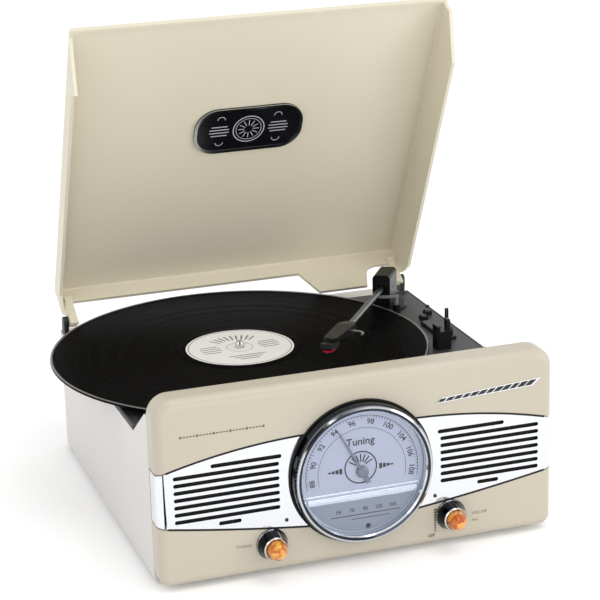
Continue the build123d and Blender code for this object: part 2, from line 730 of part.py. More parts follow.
base_z = deck_top + arm_base_t
at_arm = Pos(arm_x, arm_y, 0)
pieces["arm_base"] = at_arm * turned([
    (yoke_shaft_r + run_clear, base_z), (arm_base_r - 1.2, base_z), (arm_base_r, base_z - 1), (arm_base_r, deck_top),
    (yoke_shaft_r + 1.4, deck_top), (yoke_shaft_r + 1.4, deck_top - 9), (yoke_shaft_r + run_clear, deck_top - 9)])
disc_low = base_z + 0.3 - arm_pivot_z
disc_top = disc_low + yoke_disc_t
yoke_high = yoke_top - arm_pivot_z
yoke_out = yoke_inner + yoke_t
yoke = Pos(0, 0, (disc_low + disc_top) / 2) * Cylinder(yoke_disc_r, yoke_disc_t)
shaft_low = deck_top - 10 - arm_pivot_z
yoke += Pos(0, 0, (shaft_low + disc_low) / 2) * Cylinder(yoke_shaft_r, disc_low - shaft_low + 1)
for side in (-1, 1):
    x0 = side * yoke_inner
    x1 = side * yoke_out
    yoke += arm_box(min(x0, x1), max(x0, x1), -yoke_front, yoke_rear, disc_low, yoke_high)
yoke += arm_box(-yoke_out, yoke_out, -yoke_front, yoke_rear, yoke_high - yoke_top_t, yoke_high)
yoke += arm_box(-yoke_out, yoke_out, yoke_rear, yoke_rear + 2, disc_low, yoke_high)
yoke += arm_box(-yoke_out, yoke_out, -yoke_front, yoke_front_t - yoke_front, disc_low, yoke_high)
yoke_rounds = [e for e in yoke.edges().filter_by(Axis.Y) if e.center().Z > yoke_high - 0.01]
yoke = fillet(yoke_rounds, yoke_top_r)
window_half = tube_r + yoke_tube_gap
window_rise = yoke_front * math.tan(math.radians(lift_angle))
yoke -= arm_box(-window_half, window_half, -yoke_front - 1, yoke_front_t - yoke_front + 1,
                -window_half, window_half + window_rise)
yoke -= rod_x(0, 0, axle_r + run_clear, -yoke_out - 1, yoke_out + 1)
pieces["arm_yoke"] = arm_place * yoke

axle = rod_x(0, 0, axle_r, -yoke_out + 0.3, yoke_out - 0.3)
pieces["arm_axle"] = arm_tipped * axle
carrier = arm_box(-carrier_w / 2, carrier_w / 2, -carrier_len, carrier_len * 0.6, -carrier_h / 2, carrier_h / 2)
carrier -= rod_x(0, 0, axle_r, -10, 10)
carrier -= rod_y(0, 0, tube_r, -carrier_len - 1, -3)
pieces["arm_carrier"] = arm_tipped * carrier
weight = arm_box(-carrier_w / 2, carrier_w / 2, carrier_len * 0.6, carrier_len * 0.6 + weight_len,
                 -weight_h / 2 - 1, weight_h / 2 - 1)
pieces["counterweight"] = arm_tipped * weight
tube = rod_y(0, 0, tube_r, -tube_end, -3) - rod_y(0, 0, tube_r - tube_wall, -tube_end - 1, -carrier_len)
pieces["arm_tube"] = arm_tipped * tube

# The headshell's own frame has its back end on the tube's end, turned towards the spindle
shell_place = arm_tipped * Pos(0, -tube_end + 6, 0) * Rot(0, 0, -shell_offset)
shell_plan = [(-shell_back_w * 0.3, 6), (shell_back_w * 0.3, 6), (shell_back_w / 2, -4),
              (shell_tip_w / 2 + 0.6, -shell_len + 9), (shell_tip_w / 2 - 1.5, -shell_len + 6),
              (-shell_tip_w / 2 + 1.5, -shell_len + 6), (-shell_tip_w / 2 - 0.6, -shell_len + 9),
              (-shell_back_w / 2, -4)]
shell_side = [(7, -shell_t * 0.75), (7, shell_t * 0.75), (-4, shell_t * 0.9), (-shell_len + 5, shell_t * 0.15),
              (-shell_len + 5, -shell_t * 0.35), (-8, -shell_t * 0.75)]
shell = prism_z(shell_plan, -10, 10) & prism_x(shell_side, -10, 10)
tube_in_shell = shell_place.inverse() * (arm_tipped * rod_y(0, 0, tube_r, -tube_end, -3))
shell -= tube_in_shell
pieces["headshell"] = shell_place * shell

stylus_y = -(arm_len - tube_end + 6)
cart_top = -shell_t * 0.75
cart_back = stylus_y + cartridge_len - 2
cart_low = cart_top - cartridge_h
cartridge_side = [(cart_back, cart_top), (cart_back, cart_low + 1), (cart_back - 2, cart_low),
                  (stylus_y + 2, cart_low), (stylus_y - 1, cart_low + 1.6), (stylus_y - 1, cart_top + 1.2)]
cartridge_low_side = prism_x(cartridge_side, -cartridge_w / 2, cartridge_w / 2)
cartridge = cartridge_low_side - shell
pieces["cartridge"] = shell_place * cartridge
stylus_back = stylus_y + stylus_len - 3
stylus_low = cart_low - stylus_h
tip_drop = -(arm_pivot_z - record_top - stylus_gap)
stylus_plan = [(-stylus_w / 2, stylus_back), (stylus_w / 2, stylus_back), (stylus_w / 2 - 0.6, stylus_y + 1),
               (stylus_w / 2 - 2.4, stylus_y - 2), (-stylus_w / 2 + 2.4, stylus_y - 2), (-stylus_w / 2 + 0.6, stylus_y + 1)]
stylus_side = [(stylus_back, cart_low), (stylus_back, cart_low - 1.2), (stylus_y + 4, stylus_low + 0.6),
               (stylus_y - 2, cart_low - 1.0), (stylus_y - 2, cart_low)]
stylus = prism_z(stylus_plan, stylus_low - 1, cart_low) & prism_x(stylus_side, -stylus_w, stylus_w)
tip = Pos(0, stylus_y + 0.6, (cart_low - 1 + tip_drop) / 2) * Cylinder(0.45, cart_low - 1 - tip_drop)
pieces["stylus"] = shell_place * (stylus + tip)

finger_x = shell_back_w / 2 - 0.7
finger = prism_z([(finger_x - 0.8, -8), (finger_x + 9, -9), (finger_x + 13.5, -13), (finger_x + 14, -18),
                  (finger_x + 12.6, -18), (finger_x + 12, -13.8), (finger_x + 8.6, -10.8), (finger_x - 0.8, -11)],
                 0.4, 1.4)
finger -= shell
pieces["finger_lift"] = shell_place * finger

# Cue lift: the curved platform under the tube, its post in the deck, and the lever
lift_tube_low = arm_pivot_z + lift_r * math.tan(math.radians(lift_angle)) - tube_r / math.cos(math.radians(lift_angle))
lift_top_z = lift_tube_low - lift_clear
start_a = -90 - arm_swing - lift_sweep_in
end_a = -90 + lift_sweep_out
sweep = end_a - start_a


def sector(r_in, r_out, a0, a1, z0, z1):
    """A ring sector about the arm's pivot between two plan angles."""
    ring = rod_z(0, 0, r_out, z0, z1) - rod_z(0, 0, r_in, z0 - 1, z1 + 1)
    reach = r_out * 3
    points = [(0, 0)]
    steps = 3
    for k in range(steps + 1):
        a = math.radians(a0 + (a1 - a0) * k / steps)
        points.append((reach * math.cos(a), reach * math.sin(a)))
    return ring & prism_z(points, z0 - 1, z1 + 1)


platform = sector(lift_r - lift_w / 2, lift_r + lift_w / 2, start_a, end_a, lift_top_z - lift_t, lift_top_z)
post_a = math.radians(end_a - 4)
post_x = lift_r * math.cos(post_a)
post_y = lift_r * math.sin(post_a)
post_low = deck_top - 12
platform += rod_z(post_x, post_y, lift_post_r, post_low, lift_top_z - lift_t / 2)
pieces["lift_platform"] = at_arm * platform
guide = rod_z(post_x, post_y, lift_post_r + 1.8, deck_top, deck_top + 8)
guide += rod_z(post_x, post_y, lift_post_r + 1.2, deck_top - 5, deck_top)
guide -= rod_z(post_x, post_y, lift_post_r + run_clear, deck_top - 30, deck_top + 20)
pieces["lift_guide"] = at_arm * guide
pieces["deck"] -= at_arm * rod_z(post_x, post_y, lift_post_r + 1.25, side_top - 1, deck_top + 1)

# Arm rest: a block on the deck with a cradle that the lifted tube swings over
rest_z = tube_low - 0.3
rest_y0 = rest_y - rest_d / 2
rest_y1 = rest_y + rest_d / 2
rest = block(rest_x - rest_w / 2, rest_x + rest_w / 2, rest_y0, rest_y1, deck_top, rest_z)
rest += block(rest_x - rest_w / 2, rest_x - rest_slot / 2, rest_y0, rest_y1,
              rest_z - 1, rest_z + rest_ear)
rest += block(rest_x + rest_slot / 2, rest_x + rest_w / 2, rest_y0 + 2, rest_y1 - 2,
              rest_z - 1, rest_z + rest_tall_ear)
rest_tops = [e for e in rest.edges().filter_by(Axis.X) if e.center().Z > rest_z + rest_ear - 0.01]
pieces["arm_rest"] = fillet(rest_tops, 1.2)

# Cue lever: a cross pin between two cheeks on a low housing, with a tapered finger stalk
cheek_t = 2.0
housing_top = deck_top + housing_h
lever_mount = []
for side in (-1, 1):
    x0 = lever_x + side * (lever_w / 2 + 0.4)
    x1 = x0 + side * cheek_t
    cheek = block(min(x0, x1), max(x0, x1), lever_y - 4, lever_y + 4, housing_top - 1, lever_z + 3)
    cheek = fillet([e for e in cheek.edges().filter_by(Axis.X) if e.center().Z > lever_z + 2], 2.5)
    lever_mount.append(cheek - rod_x(lever_y, lever_z, 1.0 + run_clear, lever_x - 10, lever_x + 10))
housing = block(housing_x0, housing_x1, housing_y0, housing_y1, deck_top, housing_top)
housing = fillet(housing.edges().filter_by(Axis.Z), 2.5)
housing = chamfer(housing.edges().group_by(Axis.Z)[-1], 0.8)
pieces["lever_mount"] = lever_mount[0] + lever_mount[1] + housing
lever_pin = rod_x(lever_y, lever_z, 1.0, lever_x - lever_w / 2 - 2.2, lever_x + lever_w / 2 + 2.2)
lever = rod_x(lever_y, lever_z, 2.4, lever_x - lever_w / 2, lever_x + lever_w / 2)
stalk = prism_x([(lever_y - 1.7, lever_z), (lever_y + 1.7, lever_z), (lever_y + 0.9, lever_z + lever_len),
                 (lever_y - 0.9, lever_z + lever_len)], lever_x - lever_w / 2 + 0.2, lever_x + lever_w / 2 - 0.2)
pieces["cue_lever"] = lever + stalk + lever_pin

# Slide switches: a cap above the deck on a stem through a slot, and the body below
for name, x, y, travel in (("speed_switch", speed_x, speed_y, speed_travel),
                           ("stop_switch", stop_x, stop_y, stop_travel)):
    c = switch_cap / 2
    cap = block(x - c, x + c, y - c, y + c, deck_top + 0.3, deck_top + 0.3 + switch_cap_h)
    cap = chamfer(cap.edges().group_by(Axis.Z)[-1], 1.0)
    stem = block(x - 1.2, x + 1.2, y - 1.2, y + 1.2, deck_top - deck_t - 3, deck_top + 1)
    pieces[name] = cap + stem
    slot_y1 = y + travel + 1.7
    slot_cut = block(x - 1.6, x + 1.6, y - 1.6, slot_y1, side_top - 4, deck_top + 1)
    pieces["deck"] -= slot_cut
    body_top = deck_top - deck_t
    body = block(x - 4.5, x + 4.5, y - 7, slot_y1 + 4, body_top - switch_body_h, body_top)
    body -= block(x - 1.6, x + 1.6, y - 1.6, slot_y1, body_top - 4, body_top + 1)
    switch_bodies.append(body)
pieces["switch_bodies"] = Compound(children=switch_bodies)

# Deck screws, sunk in the deck over the cabinet posts
deck_screws = []
for x, y in post_places:
    head_high = deck_top - screw_sink
    head_low = head_high - screw_head_t
    pieces["deck"] -= rod_z(x, y, screw_r + 0.2, side_top - 5, deck_top + 1)
    pieces["deck"] -= rod_z(x, y, screw_head_r + 0.15, head_low, deck_top + 1)
    deck_screws.append(rod_z(x, y, screw_r, side_top - 15, head_low + 0.5) + rod_z(x, y, screw_head_r, head_low, head_high))
pieces["case_screws"] = Compound(children=bottom_screws + deck_screws)

# Circuit board, transformer and the rear socket plate
board_z = foot_h + cover_t + 8
board = block(-60, 50, 215, 285, board_z, board_z + 1.6)
for x, y in ((-54, 221), (44, 221), (-54, 279), (44, 279)):
    board += rod_z(x, y, 3, foot_h + cover_t, board_z)
for x0, y0, w, d, h in ((-45, 230, 18, 18, 9), (-15, 228, 26, 12, 16), (20, 235, 14, 30, 12), (-40, 258, 30, 14, 7)):
    board += block(x0, x0 + w, y0, y0 + d, board_z + 1, board_z + 1.6 + h)
pieces["main_board"] = board
core = block(75, 121, 225, 265, foot_h + cover_t, foot_h + cover_t + 36)
coil = block(80, 116, 217, 273, foot_h + cover_t + 9, foot_h + cover_t + 29)
pieces["transformer"] = core + coil
plate_margin = 3.0
plate = block(socket_x0 - plate_margin, socket_x0 + socket_w + plate_margin, cab_d, cab_d + 1.5,
              socket_z0 - plate_margin, socket_z0 + socket_h + plate_margin)
socket_z = socket_z0 + socket_h / 2
socket_places = [(socket_x0 + 12, 4.2), (socket_x0 + 30, 4.2)]
inlet_x = socket_x0 + 50
for x, r in socket_places:
    plate -= rod_y(x, socket_z, r + 0.1, cab_d - 1, cab_d + 3)
plate -= rod_y(inlet_x, socket_z, 5.1, cab_d - 1, cab_d + 3)
pieces["socket_plate"] = plate
sockets = []
for x, r in socket_places:
    shell_tube = rod_y(x, socket_z, r, cab_d - 8, cab_d + 9)
    shell_tube -= rod_y(x, socket_z, 1.6, cab_d + 1, cab_d + 10)
    sockets.append(shell_tube + rod_y(x, socket_z, r + 1.6, cab_d + 1.5, cab_d + 3))
pieces["line_sockets"] = Compound(children=sockets)
inlet = rod_y(inlet_x, socket_z, 5.0, cab_d - 10, cab_d + 2.6)
inlet -= rod_y(inlet_x, socket_z, 2.75, cab_d - 7, cab_d + 4)
inlet += rod_y(inlet_x, socket_z, 1.0, cab_d - 8, cab_d + 1)
pieces["supply_inlet"] = inlet + (rod_y(inlet_x, socket_z, 6.5, cab_d + 1.5, cab_d + 2.6)
                                  - rod_y(inlet_x, socket_z, 4.0, cab_d, cab_d + 4))


# Lid: a moulded cover, drawn closed, with cut-outs for the overhanging record
def lid_block(inset, z_low):
    """The lid's outer form, drawn in by an inset."""
    w = half_w - inset
    y0 = lid_front_y + inset
    y1 = lid_rear_y - inset
    z1 = lid_top - inset
    solid = block(-w, w, y0, y1, z_low, z1)
    corners = [e for e in solid.edges().filter_by(Axis.Z) if e.center().Y > y1 - 0.01]
    solid = fillet(corners, lid_plan_r - inset)
    sides = [e for e in solid.edges().filter_by(Axis.Y) if e.center().Z > z1 - 0.01]
    solid = fillet(sides, lid_edge_r - inset)
    return solid


lid = lid_block(0, lid_rear_low) - lid_block(lid_t, lid_rear_low - 5)
lid_low_end = lid_rear_y - lid_plan_r
lid -= block(-half_w - 5, half_w + 5, lid_front_y - 5, lid_low_end, lid_rear_low - 5, lid_bottom)
slope = (shoulder_top - side_top) / (shoulder_y_low - shoulder_y_high)
slant_y = shoulder_y_low - (lid_bottom - side_top) / slope + lid_gap / slope + 0.5
slant_z = lid_bottom + slope * (slant_y - lid_front_y)
lid_left_end_y = cab_d - lid_left_end
lid_right_end_y = cab_d - lid_right_end
right_cut = [(lid_front_y - 5, lid_bottom - 5), (slant_y, lid_bottom - 5), (slant_y, lid_bottom),
             (lid_front_y, slant_z), (lid_front_y - 5, slant_z + slope * 5)]
lid -= prism_x(right_cut, 0, half_w + 5)
left_cut = [(lid_front_y - 5, lid_bottom - 5), (lid_rear_y - 6, lid_bottom - 5), (lid_left_end_y, lid_left_cut),
            (lid_left_step_y, lid_left_cut), (lid_left_low_y, lid_left_low), (lid_front_y + 6, lid_front_rim),
            (lid_front_y - 5, lid_front_rim)]
lid -= prism_x(left_cut, -half_w - 5, -half_w + lid_t + 3)
lid -= block(-half_w - 5, half_w + 5, lid_front_y - 5, lid_front_y + lid_t + 0.01, lid_bottom - 5, lid_front_rim)
ear_end = ear_x0 + ear_w
lid -= prism_x([(lid_left_end_y - 6, lid_rear_low - 5), (lid_left_end_y, lid_left_cut), (lid_rear_y, lid_left_hinge_cut),
                (lid_rear_y + 5, lid_left_hinge_cut), (lid_rear_y + 5, lid_rear_low - 5)], -half_w - 5, -ear_end)
lid -= prism_x([(lid_right_end_y, lid_rear_low - 5), (lid_right_end_y, lid_bottom), (lid_rear_y, lid_right_hinge_cut),
                (lid_rear_y + 5, lid_right_hinge_cut), (lid_rear_y + 5, lid_rear_low - 5)], ear_end, half_w + 5)
rear_cut = [(-ear_x0, lid_rear_low - 5), (-ear_x0, rear_cut_top), (rear_cut_right, rear_cut_top),
            (rear_cut_right + rear_cut_slant, lid_rear_low), (rear_cut_right + rear_cut_slant, lid_rear_low - 5)]
lid -= prism_y(rear_cut, lid_rear_y - lid_plan_r - 2, lid_rear_y + 5)
arch = [(arch_x0 - 1, lid_rear_low - 5), (arch_x0, lid_rear_low), (arch_x0 + 5, arch_top - 6.5),
        (arch_x0 + 8.5, arch_top - 2.2), (arch_x0 + 14, arch_top), (ear_x0, arch_top), (ear_x0, lid_rear_low - 5)]
lid -= prism_y(arch, lid_rear_y - 12, lid_rear_y + 5)
lid_inner_top = lid_top - lid_t
for side in (-1, 1):
    x0 = side * ear_x0
    x1 = side * (ear_x0 + ear_w)
    ear = prism_x([(hinge_y - ear_r, hinge_z), (hinge_y + ear_r, hinge_z), (lid_rear_y, arch_top + 5),
                   (lid_rear_y - 6, arch_top + 5)], min(x0, x1), max(x0, x1))
    ear += rod_x(hinge_y, hinge_z, ear_r, min(x0, x1), max(x0, x1))
    lid += ear
    lid -= rod_x(hinge_y, hinge_z, hinge_pin_r + run_clear, min(x0, x1) - 1, max(x0, x1) + 1)

hinge = Pos(0, hinge_y, hinge_z) * Rot(-lid_open, 0, 0) * Pos(0, -hinge_y, -hinge_z)
pieces["lid"] = hinge * lid


def plaque_plate(grow, z0, z1):
    """The plaque's rounded plate."""
    face = Pos(0, plaque_y, z0) * RectangleRounded(plaque_w - grow, plaque_d - grow, plaque_r - grow / 2)
    return extrude(face, amount=z1 - z0)


plaque_z = lid_inner_top - plaque_t
pieces["lid_plaque"] = hinge * plaque_plate(0, plaque_z, lid_inner_top)
plaque_rim_ring = plaque_plate(0, plaque_z - plaque_rim_t, plaque_z)
plaque_rim_ring -= plaque_plate(plaque_rim * 2, plaque_z - plaque_rim_t - 1, plaque_z + 1)
pieces["lid_plaque_rim"] = hinge * plaque_rim_ring

pins = []
brackets = []
for side in (-1, 1):
    x0 = side * (ear_x0 + ear_w + ear_gap)
    x1 = x0 + side * bracket_w
    xa = min(x0, x1)
    xb = max(x0, x1)
    arm = rod_x(hinge_y, hinge_z, bracket_r, xa, xb)
    arm += prism_x([(hinge_y - bracket_r, hinge_z), (hinge_y + bracket_r, hinge_z),
                    (hinge_y + bracket_r + 2, side_top), (hinge_y - bracket_r + 1, side_top)], xa, xb)
    arm -= rod_x(hinge_y, hinge_z, hinge_pin_r, xa - 1, xb + 1)
    brackets.append(arm)
    p0 = side * (ear_x0 - 1)
    p1 = x1 - side * 0.4
    pins.append(rod_x(hinge_y, hinge_z, hinge_pin_r, min(p0, p1), max(p0, p1)))
pieces["hinge_brackets"] = Compound(children=brackets)
pieces["hinge_pins"] = Compound(children=pins)

pads = [rod_z(half_w - pad_inset, y, pad_r, deck_top, lid_bottom - 0.3) for y in (120, 240)]
pieces["lid_pads"] = Compound(children=pads)

# Place the origin under the middle of the whole object's box, then write each piece
boxes = [p.bounding_box() for p in pieces.values()]
low = [min(b.min.X for b in boxes), min(b.min.Y for b in boxes), min(b.min.Z for b in boxes)]
high = [max(b.max.X for b in boxes), max(b.max.Y for b in boxes), max(b.max.Z for b in boxes)]
shift = (-(low[0] + high[0]) / 2, -(low[1] + high[1]) / 2, -low[2])
os.makedirs("parts", exist_ok=True)
for name, piece in pieces.items():
    export_step(Pos(*shift) * piece, "parts/" + name + ".step")


def placed(x, y, z):
    """A point of the building frame in the finished frame, in metres."""
    return [round((x + shift[0]) / 1000, 6), round((y + shift[1]) / 1000, 6), round((z + shift[2]) / 1000, 6)]


print("size mm", [round(h - l, 2) for l, h in zip(low, high)], "shift", [round(s, 3) for s in shift])
print("pieces", len(pieces))
print("lid hinge", placed(0, hinge_y, hinge_z), "closed angle", -lid_open)
print("platter", placed(record_x, record_y, platter_z), "pulley", placed(pulley_x, pulley_y, pulley_low))
print("arm pivot", placed(arm_x, arm_y, arm_pivot_z), "lift angle", round(lift_angle, 4))
print("cue lever", placed(lever_x, lever_y, lever_z), "turn", lever_turn, "travel", lift_travel)
print("tuning knob", placed(-knob_x, 0, knob_z), "volume knob", placed(knob_x, 0, knob_z))
print("dial", placed(0, 0, dial_z), "ratio", tuning_drum_r / dial_pulley_r)
print("belt ratio", drive_ring_r / pulley_r)
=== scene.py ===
import json
import math
import bpy
import bmesh
from mathutils import Matrix, Vector


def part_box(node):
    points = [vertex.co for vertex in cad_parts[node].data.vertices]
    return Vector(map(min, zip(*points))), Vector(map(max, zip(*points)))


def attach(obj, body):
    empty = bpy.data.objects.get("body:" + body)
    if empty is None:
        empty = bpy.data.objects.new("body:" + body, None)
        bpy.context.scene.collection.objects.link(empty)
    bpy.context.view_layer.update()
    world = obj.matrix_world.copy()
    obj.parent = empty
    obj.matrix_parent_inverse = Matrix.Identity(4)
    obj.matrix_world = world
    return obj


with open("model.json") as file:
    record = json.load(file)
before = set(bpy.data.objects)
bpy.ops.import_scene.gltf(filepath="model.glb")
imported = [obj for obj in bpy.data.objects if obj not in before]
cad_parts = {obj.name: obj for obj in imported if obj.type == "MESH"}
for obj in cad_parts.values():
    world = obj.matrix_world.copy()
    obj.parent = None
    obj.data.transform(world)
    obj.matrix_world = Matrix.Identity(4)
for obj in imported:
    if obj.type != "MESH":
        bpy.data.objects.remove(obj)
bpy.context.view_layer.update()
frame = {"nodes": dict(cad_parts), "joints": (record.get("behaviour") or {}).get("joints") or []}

# Studio: a pale floor, an even white room and four soft lamps, seen through a long lens.
# The camera stands to the left of the player and looks down on it a little.
focal_px = 2011.4
picture_px = 600
sensor_mm = 36
camera_spot = Vector((-0.4496, -1.43305, 0.6362))
turn_left = math.radians(-18.305)
look_down = math.radians(17.639)
lean = math.radians(-1.617)
back = Vector((math.sin(turn_left) * math.cos(look_down), -math.cos(turn_left) * math.cos(look_down),
               math.sin(look_down)))
level = Vector((0, 0, 1)).cross(back).normalized()
upright = back.cross(level)
right = level * math.cos(lean) + upright * math.sin(lean)
above = upright * math.cos(lean) - level * math.sin(lean)
camera_data = bpy.data.cameras.new("camera")
camera_data.sensor_width = sensor_mm
camera_data.lens = focal_px / picture_px * sensor_mm
camera_data.clip_start = 0.05
camera_data.clip_end = 50
camera = bpy.data.objects.new("camera", camera_data)
camera_place = Matrix((right, above, back)).transposed().to_4x4()
camera_place.translation = camera_spot
camera.matrix_world = camera_place
bpy.context.collection.objects.link(camera)
bpy.context.scene.camera = camera
bpy.context.scene.view_settings.view_transform = "Standard"


def linear(code):
    """An sRGB hex colour as the linear colour that the shaders take."""
    channels = [int(code[i:i + 2], 16) / 255 for i in (0, 2, 4)]
    return tuple(c / 12.92 if c <= 0.04045 else ((c + 0.055) / 1.055) ** 2.4 for c in channels) + (1.0,)


def add(tree, kind, values=None, links=None, **settings):
    """Adds one node, with its settings, its socket values and its incoming links."""
    node = tree.nodes.new(kind)
    for key, value in settings.items():
        setattr(node, key, value)
    for key, value in (values or {}).items():
        node.inputs[key].default_value = value
    for key, socket in (links or {}).items():
        tree.links.new(socket, node.inputs[key])
    return node


def blank_material(name):
    """A material with an empty node tree."""
    material = bpy.data.materials.new(name)
    material.use_nodes = True
    material.node_tree.nodes.clear()
    return material, material.node_tree


world = bpy.data.worlds.new("white_room")
bpy.context.scene.world = world
world.use_nodes = True
room = world.node_tree
room.nodes.clear()
path = add(room, "ShaderNodeLightPath")
seen = add(room, "ShaderNodeMath", operation="MAXIMUM",
           links={0: path.outputs["Is Camera Ray"], 1: path.outputs["Is Transmission Ray"]})
# The front wall of the room is a dark curtain, which only reflections see.
# It gives the chrome its black edges.
curtain_way = (-0.35, -0.93, 0.12)
fill_strength = 0.86
compass = add(room, "ShaderNodeTexCoord").outputs["Generated"]
towards = add(room, "ShaderNodeVectorMath", {1: curtain_way}, {0: compass}, operation="DOT_PRODUCT")
curtain = add(room, "ShaderNodeMapRange", {"From Min": 0.72, "From Max": 0.9, "To Min": 1.0, "To Max": 0.02},
              {"Value": towards.outputs["Value"]})
fill = add(room, "ShaderNodeBackground", {"Color": linear("ffffff"), "Strength": fill_strength})
shown = add(room, "ShaderNodeBackground", {"Color": linear("ffffff"), "Strength": 1.0})
mirrored = add(room, "ShaderNodeBackground", {"Color": linear("ffffff")}, {"Strength": curtain.outputs[0]})
lit = add(room, "ShaderNodeMixShader", links={0: path.outputs["Is Glossy Ray"], 1: fill.outputs[0],
                                              2: mirrored.outputs[0]})
mixed = add(room, "ShaderNodeMixShader", links={0: seen.outputs[0], 1: lit.outputs[0], 2: shown.outputs[0]})
add(room, "ShaderNodeOutputWorld", links={"Surface": mixed.outputs[0]})


def soft_lamp(name, place, aim, width, power):
    """A square softbox that points at a spot."""
    data = bpy.data.lights.new(name, "AREA")
    data.shape = "SQUARE"
    data.size = width
    data.energy = power
    lamp = bpy.data.objects.new(name, data)
    lamp.location = Vector(place)
    lamp.rotation_mode = "QUATERNION"
    lamp.rotation_quaternion = (Vector(aim) - Vector(place)).to_track_quat("-Z", "Y")
    bpy.context.collection.objects.link(lamp)
    return lamp


soft_lamp("softbox_left", (-1.9, -1.0, 1.4), (0, 0, 0.1), 1.2, 6)
soft_lamp("softbox_above", (0.5, -0.9, 2.2), (0, 0, 0.15), 1.2, 8.5)
soft_lamp("softbox_right", (1.7, -1.5, 0.7), (0, 0.1, 0.25), 0.9, 9)
soft_lamp("softbox_low_front", (0.2, -2.6, 0.45), (0, 0.2, 0.25), 0.9, 8)

floor_r = 9.0
floor_drop = 0.0002
floor_bm = bmesh.new()
bmesh.ops.create_circle(floor_bm, cap_ends=True, segments=96, radius=floor_r)
floor_mesh = bpy.data.meshes.new("floor")
floor_bm.to_mesh(floor_mesh)
floor_bm.free()
floor = bpy.data.objects.new("floor", floor_mesh)
floor.location.z = -floor_drop
bpy.context.collection.objects.link(floor)
floor_material, tree = blank_material("pale_floor_paper")
diffuse = add(tree, "ShaderNodeBsdfDiffuse", {"Color": linear("fafafa")})
path = add(tree, "ShaderNodeLightPath")
seen = add(tree, "ShaderNodeMath", operation="MAXIMUM",
           links={0: path.outputs["Is Camera Ray"], 1: path.outputs["Is Glossy Ray"]})
glow = add(tree, "ShaderNodeEmission", {"Color": linear("ffffff"), "Strength": 0.15})
both = add(tree, "ShaderNodeAddShader", links={0: diffuse.outputs[0], 1: glow.outputs[0]})
mixed = add(tree, "ShaderNodeMixShader",
            links={0: seen.outputs[0], 1: diffuse.outputs[0], 2: both.outputs[0]})
add(tree, "ShaderNodeOutputMaterial", links={"Surface": mixed.outputs[0]})
floor_mesh.materials.append(floor_material)

# A dark strip on the floor at the left front, seen only in reflections: it draws the black line down the
# rounded corner of the left grille.
strip_size = (0.06, 0.27)
strip_spot = (-0.2176, -0.382, 0.0005)
strip_turn = -28
strip_mesh = bpy.data.meshes.new("dark_strip")
strip_bm = bmesh.new()
bmesh.ops.create_grid(strip_bm, x_segments=1, y_segments=1, size=0.5)
bmesh.ops.scale(strip_bm, vec=(*strip_size, 1), verts=strip_bm.verts[:])
strip_bm.to_mesh(strip_mesh)
strip_bm.free()
strip = bpy.data.objects.new("dark_strip", strip_mesh)
strip.location = strip_spot
strip.rotation_euler = (0, 0, math.radians(strip_turn))
strip.visible_camera = False
strip.visible_diffuse = False
strip.visible_shadow = False
bpy.context.collection.objects.link(strip)
strip_material, tree = blank_material("matt_black_card")
matt = add(tree, "ShaderNodeBsdfDiffuse", {"Color": linear("050505")})
add(tree, "ShaderNodeOutputMaterial", links={"Surface": matt.outputs[0]})
strip_mesh.materials.append(strip_material)


# Cabinet: one injection moulding in cream ABS, polished in the tool.
# The gloss is soft, with faint flow shading over the wide walls and a very fine grain.
MM = 0.001
nodes = frame["nodes"]


def finish_material(tree, bsdf, bump=None):
    """Joins a shader to the output, with a bump if there is one."""
    if bump is not None:
        tree.links.new(bump.outputs["Normal"], bsdf.inputs["Normal"])
    add(tree, "ShaderNodeOutputMaterial", links={"Surface": bsdf.outputs[0]})


def dress(material, *names):
    """Gives CAD nodes a material."""
    for name in names:
        mesh = nodes[name].data
        mesh.materials.clear()
        mesh.materials.append(material)


def moulded_plastic(name, colour, shade, roughness, grain_mm=0.5, grain_depth_mm=0.002, ior=1.5):
    """Injection-moulded plastic: two close colours in slow patches, and a fine even grain."""
    material, tree = blank_material(name)
    place = add(tree, "ShaderNodeTexCoord").outputs["Object"]
    flow_mm = 90
    flow = add(tree, "ShaderNodeTexNoise", {"Scale": 1 / (flow_mm * MM), "Detail": 2.0}, {"Vector": place})
    grain = add(tree, "ShaderNodeTexNoise", {"Scale": 1 / (grain_mm * MM), "Detail": 3.0}, {"Vector": place})
    tone = add(tree, "ShaderNodeMix", {"A": linear(colour), "B": linear(shade)},
               {"Factor": flow.outputs["Fac"]}, data_type="RGBA")
    rough = add(tree, "ShaderNodeMapRange", {"To Min": roughness - 0.02, "To Max": roughness + 0.03},
                {"Value": flow.outputs["Fac"]})
    bump = add(tree, "ShaderNodeBump", {"Strength": 0.4, "Distance": grain_depth_mm * MM},
               {"Height": grain.outputs["Fac"]})
    bsdf = add(tree, "ShaderNodeBsdfPrincipled", {"IOR": ior},
               {"Base Color": tone.outputs["Result"], "Roughness": rough.outputs[0]})
    finish_material(tree, bsdf, bump)
    return material


cream_abs = moulded_plastic("cream_moulded_abs", "dad6d3", "d4d0cc", 0.32)
dress(cream_abs, "cabinet")

# Bottom cover, feet and screws: a black moulded panel, four rubber discs and blackened steel screws.
# Rubber is matt and slightly dusty, and the pins of the lid and arm are zinc plated.
black_abs = moulded_plastic("black_moulded_abs", "1b1b1d", "232325", 0.46, 0.6, 0.03)
dress(black_abs, "bottom_cover", "switch_bodies")


